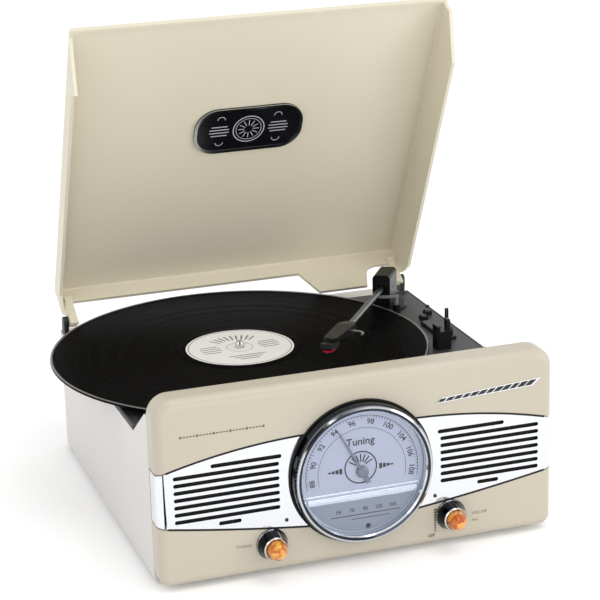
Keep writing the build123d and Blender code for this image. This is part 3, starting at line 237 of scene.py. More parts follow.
def matt_rubber(name, colour, shade):
    """Moulded rubber: matt, with a fine mottle."""
    material, tree = blank_material(name)
    place = add(tree, "ShaderNodeTexCoord").outputs["Object"]
    speck = add(tree, "ShaderNodeTexNoise", {"Scale": 1 / (1.2 * MM), "Detail": 4.0}, {"Vector": place})
    tone = add(tree, "ShaderNodeMix", {"A": linear(colour), "B": linear(shade)},
               {"Factor": speck.outputs["Fac"]}, data_type="RGBA")
    bump = add(tree, "ShaderNodeBump", {"Strength": 0.6, "Distance": 0.04 * MM},
               {"Height": speck.outputs["Fac"]})
    bsdf = add(tree, "ShaderNodeBsdfPrincipled", {"Roughness": 0.82, "IOR": 1.52},
               {"Base Color": tone.outputs["Result"]})
    finish_material(tree, bsdf, bump)
    return material


black_rubber = matt_rubber("black_moulded_rubber", "161616", "222222")
dress(black_rubber, "feet", "drive_belt", "lid_pads")


def bare_metal(name, colour, shade, roughness, streak=(1, 1, 1), streak_mm=0.4):
    """Bare or plated metal, with a grain that the streak scales draw out along one axis."""
    material, tree = blank_material(name)
    place = add(tree, "ShaderNodeTexCoord").outputs["Object"]
    drawn = add(tree, "ShaderNodeMapping", {"Scale": streak}, {"Vector": place})
    grain = add(tree, "ShaderNodeTexNoise", {"Scale": 1 / (streak_mm * MM), "Detail": 3.0},
                {"Vector": drawn.outputs[0]})
    tone = add(tree, "ShaderNodeMix", {"A": linear(colour), "B": linear(shade)},
               {"Factor": grain.outputs["Fac"]}, data_type="RGBA")
    rough = add(tree, "ShaderNodeMapRange",
                {"To Min": max(roughness - 0.05, 0.02), "To Max": roughness + 0.07},
                {"Value": grain.outputs["Fac"]})
    bump = add(tree, "ShaderNodeBump", {"Strength": 0.3, "Distance": 0.01 * MM},
               {"Height": grain.outputs["Fac"]})
    bsdf = add(tree, "ShaderNodeBsdfPrincipled", {"Metallic": 1.0},
               {"Base Color": tone.outputs["Result"], "Roughness": rough.outputs[0]})
    finish_material(tree, bsdf, bump)
    return material


zinc = bare_metal("zinc_plated_steel", "b9bcc0", "a4a7ac", 0.28)
dress(zinc, "hinge_pins", "arm_axle")
black_steel = bare_metal("blackened_steel", "2c2c2e", "1f1f21", 0.4)
dress(black_steel, "case_screws")

# Deck: a black moulded board with a fine spark-eroded texture, so it looks dark grey under light.
# The platter well is part of the same moulding.
deck_abs = moulded_plastic("textured_black_abs", "323235", "3b3b3e", 0.5, 0.9, 0.05)
dress(deck_abs, "deck")

# Front panel: the polished beige moulding that carries the dial, grilles and knobs.
# It is a shade deeper than the cabinet and has the same soft gloss, and its legends are screen printed.
beige_abs = moulded_plastic("beige_moulded_abs", "c3bbaa", "beb5a3", 0.3)
dress(beige_abs, "front_panel")

front_low, front_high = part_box("front_panel")
face_y = front_low.y
mid_x = (front_low.x + front_high.x) / 2


def piece_from(name, bm, material, body):
    """Turns a finished bmesh into a named piece that rides on a body."""
    mesh = bpy.data.meshes.new(name)
    bm.to_mesh(mesh)
    bm.free()
    mesh.materials.append(material)
    obj = bpy.data.objects.new(name, mesh)
    bpy.context.collection.objects.link(obj)
    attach(obj, body)
    return obj


def words(bm, text, size, place, depth, bold=0.0):
    """Adds the outlines of a word or number to a bmesh, as thin raised print at a place."""
    curve = bpy.data.curves.new("print", "FONT")
    curve.body = text
    curve.size = size
    curve.align_x = "CENTER"
    curve.align_y = "CENTER"
    curve.extrude = depth / 2
    curve.offset = bold
    curve.resolution_u = 3
    obj = bpy.data.objects.new("print", curve)
    bpy.context.collection.objects.link(obj)
    bpy.context.view_layer.update()
    shaped = bpy.data.meshes.new_from_object(obj.evaluated_get(bpy.context.evaluated_depsgraph_get()))
    shaped.transform(place)
    letters = bmesh.new()
    letters.from_mesh(shaped)
    bmesh.ops.remove_doubles(letters, verts=letters.verts[:], dist=1e-6)
    bmesh.ops.recalc_face_normals(letters, faces=letters.faces[:])
    letters.to_mesh(shaped)
    letters.free()
    bm.from_mesh(shaped)
    bpy.data.meshes.remove(shaped)
    bpy.data.objects.remove(obj)
    bpy.data.curves.remove(curve)


def bar(bm, place, width, height, depth):
    """Adds a small flat bar, centred on a place."""
    made = bmesh.ops.create_cube(bm, size=1.0)
    bmesh.ops.scale(bm, vec=(width, height, depth), verts=made["verts"])
    bmesh.ops.transform(bm, matrix=place, verts=made["verts"])
    return made["verts"]


def hoop(bm, place, radius, width, depth, segments=96, arc=math.tau, start=0.0):
    """Adds a flat ring, or a part of one, by spinning its small cross-section."""
    ring = bmesh.new()
    bmesh.ops.create_grid(ring, x_segments=1, y_segments=1, size=0.5)
    bmesh.ops.scale(ring, vec=(width, depth, 1), verts=ring.verts[:])
    bmesh.ops.rotate(ring, cent=(0, 0, 0), matrix=Matrix.Rotation(math.pi / 2, 3, "X"), verts=ring.verts[:])
    bmesh.ops.translate(ring, vec=(radius, 0, 0), verts=ring.verts[:])
    bmesh.ops.rotate(ring, cent=(0, 0, 0), matrix=Matrix.Rotation(start, 3, "Z"), verts=ring.verts[:])
    full_turn = arc > math.tau - 0.001
    if full_turn:
        bmesh.ops.delete(ring, geom=ring.faces[:], context="FACES_ONLY")
    bmesh.ops.spin(ring, geom=ring.verts[:] + ring.edges[:] + ring.faces[:], cent=(0, 0, 0), axis=(0, 0, 1),
                   angle=arc, steps=segments, use_merge=full_turn)
    bmesh.ops.remove_doubles(ring, verts=ring.verts[:], dist=1e-7)
    bmesh.ops.recalc_face_normals(ring, faces=ring.faces[:])
    bmesh.ops.transform(ring, matrix=place, verts=ring.verts[:])
    shaped = bpy.data.meshes.new("ring")
    ring.to_mesh(shaped)
    ring.free()
    bm.from_mesh(shaped)
    bpy.data.meshes.remove(shaped)


def on_front(x, z, proud=0.0):
    """A place on the front face, with X to the right, Y up and Z towards the viewer."""
    spot = Vector((mid_x + x * MM, face_y - proud * MM, z * MM))
    return Matrix.Translation(spot) @ Matrix.Rotation(math.pi / 2, 4, "X")


def printed_ink(name, colour, roughness=0.45):
    """Screen-printed ink: even, with a faint mottle where the film is thin."""
    material, tree = blank_material(name)
    place = add(tree, "ShaderNodeTexCoord").outputs["Object"]
    film = add(tree, "ShaderNodeTexNoise", {"Scale": 1 / (0.8 * MM), "Detail": 2.0}, {"Vector": place})
    thin_film = tuple(c * 0.8 for c in linear(colour)[:3]) + (1,)
    tone = add(tree, "ShaderNodeMix", {"A": linear(colour), "B": thin_film},
               {"Factor": film.outputs["Fac"]}, data_type="RGBA")
    bsdf = add(tree, "ShaderNodeBsdfPrincipled", {"Roughness": roughness},
               {"Base Color": tone.outputs["Result"]})
    finish_material(tree, bsdf)
    return material


brown_ink = printed_ink("brown_print", "6b6250")
black_ink = printed_ink("black_print", "202022")
legend_t = 0.06
legend_lift = legend_t / 2
bm = bmesh.new()
for text, size, x, z, bold in (("TUNING", 3.2, -91, 27.5, 0), ("VOLUME", 3.2, 93.5, 24.0, 0),
                               ("MIN", 2.6, 90, 18.2, 0), ("OFF", 3.4, 54.8, 11.2, 0.12)):
    words(bm, text, size * MM, on_front(x, z, legend_lift), legend_t * MM, bold * MM)
# A small wedge of bars to the left of the volume knob, and a dotted line at the upper left
wedge_bars = 9
wedge_pitch = 2.1
for i in range(wedge_bars):
    wide = 1.2 + 0.14 * i
    bar(bm, on_front(58.0, 15.0 + i * wedge_pitch, legend_lift), wide * MM, 1.6 * MM, legend_t * MM)
dots = 26
dot_pitch = 2.45
for i in range(dots):
    tall = 0.9 if i % 5 else 1.8
    bar(bm, on_front(-134.5 + i * dot_pitch, 118.3, legend_lift), 1.7 * MM, tall * MM, legend_t * MM)
piece_from("front_legends", bm, brown_ink, "case")

# Trim bar: a slim plated badge on the upper right of the panel, held by two pins.
# It is a tapering bright backing strip with a row of slanted black lozenges let into it.
chrome = bare_metal("bright_chrome_plate", "eceef0", "e2e4e8", 0.07, streak_mm=3.0)
badge_half = 39.5
badge_rise = 4.2
badge_slant = 1.3
badge_t = 0.5
badge_place = on_front(100.5, 119.8) @ Matrix.Rotation(math.atan2(badge_rise, 2 * badge_half), 4, "Z")
bm = bmesh.new()
verts = bar(bm, Matrix.Translation((0, 0, badge_t / 2 * MM)), 2 * badge_half * MM, 1 * MM, badge_t * MM)
for v in verts:
    v.co.y *= 4.6 + 0.9 * v.co.x / (badge_half * MM)
    v.co.x += v.co.y * badge_slant
bmesh.ops.bevel(bm, geom=bm.edges[:], offset=0.15 * MM, offset_type="OFFSET", segments=2, profile=0.5,
                affect="EDGES", material=-1)
bmesh.ops.transform(bm, matrix=badge_place, verts=bm.verts[:])
piece_from("trim_bar_rails", bm, chrome, "case")
lozenges = 12
lozenge_pitch = 6.45
bm = bmesh.new()
for i in range(lozenges):
    x = -36.5 + i * lozenge_pitch
    tall = 3.0 + 0.8 * x / badge_half
    wide = 5.3 if i % 3 else 4.6
    verts = bar(bm, Matrix.Translation((0, 0, 0.4 * MM)), wide * MM, tall * MM, badge_t * MM)
    for v in verts:
        v.co.x += v.co.y * badge_slant
    bmesh.ops.transform(bm, matrix=badge_place @ Matrix.Translation((x * MM, 0, 0)), verts=verts)
piece_from("trim_bar_lozenges", bm, black_ink, "case")

# Grilles: chrome-plated mouldings with long louvre slots, screwed to the panel by one small screw each.
# A black acoustic cloth and the speakers lie behind the slots.
dress(chrome, "grille_left", "grille_right")


def arc_through(a, b, c):
    """The centre, radius and two end angles of the arc through three points."""
    ax, ay = a
    bx, by = b
    cx, cy = c
    d = 2 * (ax * (by - cy) + bx * (cy - ay) + cx * (ay - by))
    sa, sb, sc = ax * ax + ay * ay, bx * bx + by * by, cx * cx + cy * cy
    x = (sa * (by - cy) + sb * (cy - ay) + sc * (ay - by)) / d
    z = (sa * (cx - bx) + sb * (ax - cx) + sc * (bx - ax)) / d
    return x, z, math.hypot(ax - x, ay - z), math.atan2(ay - z, ax - x), math.atan2(cy - z, cx - x)


# A matt black strip lies in the gap round each grille, along its two long edges. It is painted shadow that
# draws a dark line there.
shadow_gap_sunk = 0.6
shadow_gap_w = 1.5
upper_edge = ((40, 106.9), (97, 102.6), (146.5, 92.8))
lower_edge = ((146.5, 49.9), (101, 42.7), (40, 35.0))
bm = bmesh.new()
for points in (upper_edge, lower_edge):
    for side in (-1, 1):
        sided = [(side * x, z) for x, z in points]
        x, z, radius, start, end = arc_through(*sided)
        low, high = sorted((start, end))
        place = on_front(x, z, -shadow_gap_sunk)
        hoop(bm, place, radius * MM, shadow_gap_w * MM, shadow_gap_w * MM, 60, high - low, low)
# The matt black of the gap strips is painted shadow.
shadow_gap_black = matt_rubber("painted_shadow_gap_black", "0c0c0d", "161617")
piece_from("grille_shadow_gap_strips", bm, shadow_gap_black, "case")


def woven_cloth(name, colour, shade, thread_mm):
    """Plain-weave cloth, drawn with threads wide enough to show through the slots."""
    material, tree = blank_material(name)
    place = add(tree, "ShaderNodeTexCoord").outputs["Object"]
    weave = add(tree, "ShaderNodeTexChecker", {"Scale": 1 / (thread_mm * MM)}, {"Vector": place})
    fuzz = add(tree, "ShaderNodeTexNoise", {"Scale": 1 / (0.3 * MM), "Detail": 3.0}, {"Vector": place})
    tone = add(tree, "ShaderNodeMix", {"A": linear(colour), "B": linear(shade)},
               {"Factor": weave.outputs["Fac"]}, data_type="RGBA")
    bump = add(tree, "ShaderNodeBump", {"Strength": 0.8, "Distance": 0.1 * MM},
               {"Height": fuzz.outputs["Fac"]})
    bsdf = add(tree, "ShaderNodeBsdfPrincipled", {"Roughness": 0.95, "Sheen Weight": 0.2},
               {"Base Color": tone.outputs["Result"]})
    finish_material(tree, bsdf, bump)
    return material


speaker_cloth = woven_cloth("black_speaker_cloth", "0b0b0c", "18181a", 0.5)
dress(speaker_cloth, "grille_cloths", "dial_cord")
dress(black_rubber, "speakers")
bm = bmesh.new()
for side in (-1, 1):
    made = bmesh.ops.create_cone(bm, cap_ends=True, segments=32, radius1=1.5 * MM, radius2=1.2 * MM,
                                 depth=0.8 * MM)
    bmesh.ops.transform(bm, matrix=on_front(side * 58, 43, 0.3), verts=made["verts"])
piece_from("grille_screws", bm, black_ink, "case")

# Dial: a turned chrome bezel round a domed clear window, over a satin silver scale plate.
# The scale is printed, and the plate is a darker grey below a bright double ridge.
bezel_low, bezel_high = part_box("dial_bezel")
bezel_r = (bezel_high.x - bezel_low.x) / 2 / MM
bezel_z = (bezel_low.z + bezel_high.z) / 2 / MM


def chrome_painted_reflection_rings(name, x, z, rings):
    """Chrome whose base colour runs in rings, as pairs of a radius in millimetres and a colour; its dark
    rings are painted reflections.
    Their axis runs to the front at x on either side of the middle, at height z."""
    material, tree = blank_material(name)
    place = add(tree, "ShaderNodeTexCoord").outputs["Object"]
    moved = add(tree, "ShaderNodeVectorMath", {1: (mid_x, 0, z * MM)}, {0: place}, operation="SUBTRACT")
    folded = add(tree, "ShaderNodeVectorMath", links={0: moved.outputs[0]}, operation="ABSOLUTE")
    off_axis = add(tree, "ShaderNodeVectorMath", {1: (x * MM, 0, 0)}, {0: folded.outputs[0]},
                   operation="SUBTRACT")
    flat = add(tree, "ShaderNodeVectorMath", {1: (1, 0, 1)}, {0: off_axis.outputs[0]}, operation="MULTIPLY")
    radius = add(tree, "ShaderNodeVectorMath", links={0: flat.outputs[0]}, operation="LENGTH")
    reach = rings[-1][0]
    scaled = add(tree, "ShaderNodeMapRange", {"From Max": reach * MM}, {"Value": radius.outputs["Value"]})
    ramp = add(tree, "ShaderNodeValToRGB", links={0: scaled.outputs[0]})
    while len(ramp.color_ramp.elements) < len(rings):
        ramp.color_ramp.elements.new(0.5)
    # Every place is set before any colour, because a stop that moves can change its rank.
    for stop, (r, colour) in zip(ramp.color_ramp.elements, rings):
        stop.position = r / reach
    for stop, (r, colour) in zip(ramp.color_ramp.elements, rings):
        stop.color = linear(colour)
    polish = add(tree, "ShaderNodeTexNoise", {"Scale": 1 / (3 * MM)}, {"Vector": place})
    rough = add(tree, "ShaderNodeMapRange", {"To Min": 0.05, "To Max": 0.14},
                {"Value": polish.outputs["Fac"]})
    bsdf = add(tree, "ShaderNodeBsdfPrincipled", {"Metallic": 1.0},
               {"Base Color": ramp.outputs["Color"], "Roughness": rough.outputs[0]})
    finish_material(tree, bsdf)
    return material


# The dark bands in the bezel's colour are painted reflections of dark surroundings.
bezel_painted_reflection_rings = ((46, "dfe2e6"), (bezel_r - 5.6, "dfe2e6"), (bezel_r - 5.2, "30343b"),
               (bezel_r - 3.6, "3a3f47"), (bezel_r - 3.1, "d9dce0"), (bezel_r - 2.2, "b9bcc2"),
               (bezel_r - 1.4, "33373d"), (60, "2c2f34"))
dress(chrome_painted_reflection_rings("chrome_bezel_painted_reflections", 0, bezel_z, bezel_painted_reflection_rings), "dial_bezel")
# A matt black ring in the gap round the bezel is painted shadow.
bm = bmesh.new()
shadow_gap_ring_w = 1.1
hoop(bm, on_front(0, bezel_z, 0.6), (bezel_r + shadow_gap_ring_w / 2) * MM, shadow_gap_ring_w * MM, 1.4 * MM, 128)
piece_from("bezel_shadow_gap_ring", bm, shadow_gap_black, "case")
window, tree = blank_material("clear_acrylic_window")
place = add(tree, "ShaderNodeTexCoord").outputs["Object"]
ripple = add(tree, "ShaderNodeTexNoise", {"Scale": 1 / (60 * MM)}, {"Vector": place})
bump = add(tree, "ShaderNodeBump", {"Strength": 0.1, "Distance": 0.2 * MM},
           {"Height": ripple.outputs["Fac"]})
clear = add(tree, "ShaderNodeBsdfTransparent", {"Color": linear("fbfcff")})
gloss = add(tree, "ShaderNodeBsdfGlossy", {"Color": linear("ffffff"), "Roughness": 0.04},
            {"Normal": bump.outputs[0]})
# Only the side that faces the viewer is glossy, because the light is not bent on its way through.
edge = add(tree, "ShaderNodeFresnel", {"IOR": 1.45})
side = add(tree, "ShaderNodeNewGeometry")
outer_side = add(tree, "ShaderNodeMath", {0: 1.0}, {1: side.outputs["Backfacing"]}, operation="SUBTRACT")
shine = add(tree, "ShaderNodeMath", operation="MULTIPLY",
            links={0: edge.outputs[0], 1: outer_side.outputs[0]})
coat = add(tree, "ShaderNodeMixShader",
           links={0: shine.outputs[0], 1: clear.outputs[0], 2: gloss.outputs[0]})
add(tree, "ShaderNodeOutputMaterial", links={"Surface": coat.outputs[0]})
dress(window, "dial_lens")

satin_silver = bare_metal("satin_silver_lacquer", "b9bdca", "aeb2c0", 0.42, streak_mm=0.5)
lacquer_metallic = 0.35
satin_silver.node_tree.nodes["Principled BSDF"].inputs["Metallic"].default_value = lacquer_metallic
dress(satin_silver, "dial_face")
satin_chrome = bare_metal("satin_chrome_ridge", "dfe3ea", "d2d6de", 0.22, streak_mm=2.0)
face_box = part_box("dial_face")
plate_y = face_box[0].y
dial_z = (face_box[0].z + face_box[1].z) / 2


def on_dial(x, z, proud=0.0):
    """A place on the scale plate, measured in millimetres from the dial's middle."""
    spot = Vector((mid_x + x * MM, plate_y - proud * MM, dial_z + z * MM))
    return Matrix.Translation(spot) @ Matrix.Rotation(math.pi / 2, 4, "X")


ink = 0.08
plate_print = ink / 2
scale_arc = math.radians(204)
scale_start = math.radians(-12)
scale_outer_r = 43.5
scale_inner_r = 34.0
bm = bmesh.new()
hoop(bm, on_dial(0, 0, plate_print), scale_outer_r * MM, 0.35 * MM, ink * MM, 80, scale_arc, scale_start)
hoop(bm, on_dial(0, 0, plate_print), scale_inner_r * MM, 0.3 * MM, ink * MM, 80, scale_arc, scale_start)
scale_numbers = ("88", "90", "92", "94", "96", "98", "100", "104", "106", "108")
number_r = 38.6
first_angle = 186
swept = 192
for i, number in enumerate(scale_numbers):
    angle = math.radians(first_angle - i * swept / (len(scale_numbers) - 1))
    turn = Matrix.Rotation(angle - math.pi / 2, 4, "Z")
    centre = on_dial(number_r * math.cos(angle), number_r * math.sin(angle), plate_print)
    words(bm, number, 5.8 * MM, centre @ turn, ink * MM, 0.09 * MM)
ticks = 60
for i in range(ticks + 1):
    angle = math.radians(first_angle - i * swept / ticks)
    reach, length = (42.7, 1.4) if i % 5 else (42.3, 2.4)
    centre = on_dial(reach * math.cos(angle), reach * math.sin(angle), plate_print)
    bar(bm, centre @ Matrix.Rotation(angle, 4, "Z"), length * MM, 0.4 * MM, ink * MM)
# The emblem: a ring with seven rays in its upper half, and a tapering dart on each side
emblem_x = -1
emblem_z = 3.5
emblem_r = 12.2
rays = 7
ray_mid = 7.4
hoop(bm, on_dial(emblem_x, emblem_z, plate_print), emblem_r * MM, 1.0 * MM, ink * MM, 64)
for i in range(rays):
    angle = math.radians(30 + i * 20)
    centre = on_dial(emblem_x + ray_mid * math.cos(angle), emblem_z + ray_mid * math.sin(angle), plate_print)
    bar(bm, centre @ Matrix.Rotation(angle, 4, "Z"), 6.0 * MM, 1.0 * MM, ink * MM)
for side in (-1, 1):
    for k in range(4):
        centre = on_dial(emblem_x + side * (15.5 + k * 2.9), 2.4, plate_print)
        bar(bm, centre, 2.3 * MM, (4.2 - 1.0 * k) * MM, ink * MM)
words(bm, "Tuning", 8.0 * MM, on_dial(emblem_x, 23.5, plate_print), ink * MM, 0.12 * MM)
lower_print = 0.1
for i, number in enumerate(("54", "70", "90", "120", "160")):
    words(bm, number, 4.0 * MM, on_dial(-19 + i * 10.5, -29.5, lower_print), ink * MM, 0.05 * MM)
bar(bm, on_dial(2, -33.4, lower_print), 54 * MM, 0.6 * MM, ink * MM)
bar(bm, on_dial(6, -36.6, lower_print), 30 * MM, 0.5 * MM, ink * MM)
piece_from("dial_scale_print", bm, black_ink, "case")

low_edge = -22.2
low_r = 46.8
bm = bmesh.new()
bmesh.ops.create_circle(bm, cap_ends=True, segments=160, radius=low_r * MM)
bmesh.ops.translate(bm, vec=(0, 0, 0.02 * MM), verts=bm.verts[:])
bmesh.ops.bisect_plane(bm, geom=bm.verts[:] + bm.edges[:] + bm.faces[:], plane_co=(0, low_edge * MM, 0),
                       plane_no=(0, 1, 0), clear_outer=True)
raised = bmesh.ops.extrude_face_region(bm, geom=bm.faces[:])
raised_verts = [g for g in raised["geom"] if isinstance(g, bmesh.types.BMVert)]
bmesh.ops.translate(bm, vec=(0, 0, 0.1 * MM), verts=raised_verts)
bmesh.ops.recalc_face_normals(bm, faces=bm.faces[:])
bmesh.ops.transform(bm, matrix=on_dial(0, 0, -0.05), verts=bm.verts[:])
lower_grey = printed_ink("grey_plate_lacquer", "9299a3", 0.35)
piece_from("dial_lower_plate", bm, lower_grey, "case")

ridge_end_r = 46.5
bm = bmesh.new()
for z, height, flat in ((-14.6, 1.0, 0.8), (-19.4, 2.7, 0.42)):
    reach = math.sqrt(ridge_end_r ** 2 - z ** 2)
    made = bmesh.ops.create_cone(bm, cap_ends=True, segments=24, radius1=height * MM, radius2=height * MM,
                                 depth=2 * reach * MM)
    bmesh.ops.rotate(bm, cent=(0, 0, 0), matrix=Matrix.Rotation(math.pi / 2, 3, "Y"), verts=made["verts"])
    bmesh.ops.scale(bm, vec=(1, 1, flat), verts=made["verts"])
    bmesh.ops.transform(bm, matrix=on_dial(0, z, 0.0), verts=made["verts"])
piece_from("dial_ridges", bm, satin_chrome, "case")

pointer_paint = printed_ink("grey_pointer_lacquer", "777c88", 0.3)
dress(pointer_paint, "dial_pointer")
dress(black_abs, "dial_pulley", "control_bodies")
dress(black_ink, "indicator_lamp")

# Knobs: turned and chromed skirts, each with a faceted amber cap pressed into its cup.
# The cap is tinted acrylic, and its brighter and darker cells are painted facet highlights and shade.
knob_low, knob_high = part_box("volume_knob_jewel")
knob_x = ((knob_low.x + knob_high.x) / 2 - mid_x) / MM
knob_z = (knob_low.z + knob_high.z) / 2 / MM
# The dark bands in the knob skirts' colour are painted reflections of dark surroundings.
knob_painted_reflection_rings = ((7, "b0b3b8"), (8.0, "dcdee1"), (8.8, "dcdee1"), (9.2, "1c1d20"), (11.2, "28292c"),
              (11.5, "85888d"), (12, "85888d"))
dress(chrome_painted_reflection_rings("chrome_knob_painted_reflections", knob_x, knob_z, knob_painted_reflection_rings), "tuning_knob", "volume_knob")
amber, tree = blank_material("tinted_amber_acrylic")
place = add(tree, "ShaderNodeTexCoord").outputs["Object"]
facet_mm = 3.6
# Painted facet highlights and shade, as brighter and darker cells.
facet_glint_cells = add(tree, "ShaderNodeTexVoronoi", {"Scale": 1 / (facet_mm * MM)}, {"Vector": place})
spread = add(tree, "ShaderNodeSeparateColor", links={0: facet_glint_cells.outputs["Color"]})
tone = add(tree, "ShaderNodeMix", {"A": linear("ffbe4c"), "B": linear("c4500a")},
           {"Factor": spread.outputs[0]}, data_type="RGBA")
bsdf = add(tree, "ShaderNodeBsdfPrincipled",
           {"Roughness": 0.05, "IOR": 1.49, "Transmission Weight": 0.15, "Coat Weight": 0.6},
           {"Base Color": tone.outputs["Result"]})
finish_material(tree, bsdf)
dress(amber, "tuning_knob_jewel", "volume_knob_jewel")

# Platter, mat and drive: a spun aluminium platter with a rubber mat, a steel spindle in brass,
# and a motor that turns the platter's inner ring through a flat rubber belt.
turned_aluminium = bare_metal("turned_aluminium", "c4c6c9", "aeb1b5", 0.3, (1, 1, 8))
dress(turned_aluminium, "platter", "finger_lift")
dress(black_rubber, "platter_mat")
polished_steel = bare_metal("polished_steel", "d5d7da", "c2c5c9", 0.14)
dress(polished_steel, "spindle", "motor", "transformer", "counterweight")
turned_brass = bare_metal("turned_brass", "c9a45a", "b18d47", 0.24, (1, 1, 6))
dress(turned_brass, "spindle_bearing", "motor_pulley", "line_sockets")

# Record: a pressed vinyl disc, near black and glossy, with a fine spiral groove.
# The groove is drawn a few times wider than life, so that it still shows. The rim carries a polished bead.
record_low, record_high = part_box("record")
record_mid = (record_low + record_high) / 2
vinyl, tree = blank_material("pressed_black_vinyl")
place = add(tree, "ShaderNodeTexCoord").outputs["Object"]
centred = add(tree, "ShaderNodeVectorMath", {1: (record_mid.x, record_mid.y, 0)}, {0: place},
              operation="SUBTRACT")
flat = add(tree, "ShaderNodeVectorMath", {1: (1, 1, 0)}, {0: centred.outputs[0]}, operation="MULTIPLY")
radius = add(tree, "ShaderNodeVectorMath", links={0: flat.outputs[0]}, operation="LENGTH").outputs["Value"]
groove_pitch = 0.9 * MM
phase = add(tree, "ShaderNodeMath", {1: math.tau / groove_pitch}, {0: radius}, operation="MULTIPLY")
wave = add(tree, "ShaderNodeMath", links={0: phase.outputs[0]}, operation="SINE")
tracks = add(tree, "ShaderNodeTexNoise", {"Scale": 1 / (7 * MM), "Detail": 2.0}, {"W": radius},
             noise_dimensions="1D")
rough = add(tree, "ShaderNodeMapRange", {"From Min": 0.35, "From Max": 0.65, "To Min": 0.16, "To Max": 0.3},
            {"Value": tracks.outputs["Fac"]})
groove_start = 147.5 * MM
groove_end = 50 * MM
inner = add(tree, "ShaderNodeMath", {1: groove_end}, {0: radius}, operation="GREATER_THAN")
outer = add(tree, "ShaderNodeMath", {1: groove_start}, {0: radius}, operation="LESS_THAN")
grooved = add(tree, "ShaderNodeMath", links={0: inner.outputs[0], 1: outer.outputs[0]}, operation="MULTIPLY")
height = add(tree, "ShaderNodeMath", links={0: wave.outputs[0], 1: grooved.outputs[0]}, operation="MULTIPLY")
bump = add(tree, "ShaderNodeBump", {"Strength": 1.0, "Distance": 0.02 * MM}, {"Height": height.outputs[0]})
tone = add(tree, "ShaderNodeMix", {"A": linear("060607"), "B": linear("0d0d0e")},
           {"Factor": tracks.outputs["Fac"]}, data_type="RGBA")
bsdf = add(tree, "ShaderNodeBsdfPrincipled", {"IOR": 1.54, "Specular IOR Level": 0.003},
           {"Base Color": tone.outputs["Result"], "Roughness": rough.outputs[0]})
finish_material(tree, bsdf, bump)
dress(vinyl, "record")

# The rim bead: vinyl pressed smooth, so it throws back a bright line all the way round. Its grey base
# colour, lighter than the disc's, is a painted highlight.
rim_vinyl, tree = blank_material("polished_vinyl_rim")
place = add(tree, "ShaderNodeTexCoord").outputs["Object"]
speck = add(tree, "ShaderNodeTexNoise", {"Scale": 1 / (2 * MM), "Detail": 2.0}, {"Vector": place})
# The grey base, lighter than the vinyl of the disc, is a painted highlight.
tone = add(tree, "ShaderNodeMix", {"A": linear("2c2c2e"), "B": linear("38383b")},
           {"Factor": speck.outputs["Fac"]}, data_type="RGBA")
bsdf = add(tree, "ShaderNodeBsdfPrincipled", {"IOR": 2.3, "Roughness": 0.16},
           {"Base Color": tone.outputs["Result"]})
finish_material(tree, bsdf)
bead_half = 1.0 * MM
bead_sunk = 0.05 * MM
rim_r = (record_high.x - record_low.x) / 2 - bead_half - 0.1 * MM
bm = bmesh.new()
made = bmesh.ops.create_circle(bm, cap_ends=False, segments=12, radius=bead_half)
bmesh.ops.scale(bm, vec=(1, 0.5, 1), verts=made["verts"])
bmesh.ops.rotate(bm, cent=(0, 0, 0), matrix=Matrix.Rotation(math.pi / 2, 3, "X"), verts=made["verts"])
bmesh.ops.translate(bm, vec=(rim_r, 0, 0), verts=made["verts"])
bmesh.ops.spin(bm, geom=bm.verts[:] + bm.edges[:], cent=(0, 0, 0), axis=(0, 0, 1), angle=math.tau, steps=240,
               use_merge=True)
bmesh.ops.remove_doubles(bm, verts=bm.verts[:], dist=1e-7)
bmesh.ops.recalc_face_normals(bm, faces=bm.faces[:])
bmesh.ops.translate(bm, vec=(record_mid.x, record_mid.y, record_high.z - bead_sunk), verts=bm.verts[:])
piece_from("record_rim", bm, rim_vinyl, "record")


def coated_paper(name, colour, shade):
    """Coated label paper: nearly white, with faint fibres."""
    material, tree = blank_material(name)
    place = add(tree, "ShaderNodeTexCoord").outputs["Object"]
    fibre = add(tree, "ShaderNodeTexNoise", {"Scale": 1 / (1.5 * MM), "Detail": 5.0}, {"Vector": place})
    tone = add(tree, "ShaderNodeMix", {"A": linear(colour), "B": linear(shade)},
               {"Factor": fibre.outputs["Fac"]}, data_type="RGBA")
    bump = add(tree, "ShaderNodeBump", {"Strength": 0.3, "Distance": 0.02 * MM},
               {"Height": fibre.outputs["Fac"]})
    bsdf = add(tree, "ShaderNodeBsdfPrincipled", {"Roughness": 0.5}, {"Base Color": tone.outputs["Result"]})
    finish_material(tree, bsdf, bump)
    return material


dress(coated_paper("coated_label_paper", "efeeec", "e6e4e0"), "record_labels")
label_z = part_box("record_labels")[1].z
grey_ink = printed_ink("grey_label_print", "55555a")


def on_label(x, y):
    """A place on the record's upper label, in millimetres from the spindle."""
    return Matrix.Translation((record_mid.x + x * MM, record_mid.y + y * MM, label_z + 0.02 * MM))


label_ink = 0.05 * MM
label_rays = 9
label_ray_mid = 24
bm = bmesh.new()
hoop(bm, on_label(0, 0), 41.2 * MM, 0.6 * MM, label_ink)
hoop(bm, on_label(0, 0), 10.5 * MM, 0.4 * MM, label_ink, 48)
for side in (-1, 1):
    for k in range(4):
        bar(bm, on_label(side * 24, 7 - k * 4.5), (18 - abs(k - 1.5) * 3) * MM, 1.1 * MM, label_ink)
for k in range(3):
    bar(bm, on_label(0, -20 - k * 4.2), (30 - k * 7) * MM, 1.2 * MM, label_ink)
for i in range(label_rays):
    angle = math.radians(50 + i * 10)
    centre = on_label(label_ray_mid * math.cos(angle), label_ray_mid * math.sin(angle))
    bar(bm, centre @ Matrix.Rotation(angle, 4, "Z"), 10 * MM, 1.2 * MM, label_ink)
piece_from("label_print", bm, grey_ink, "record")

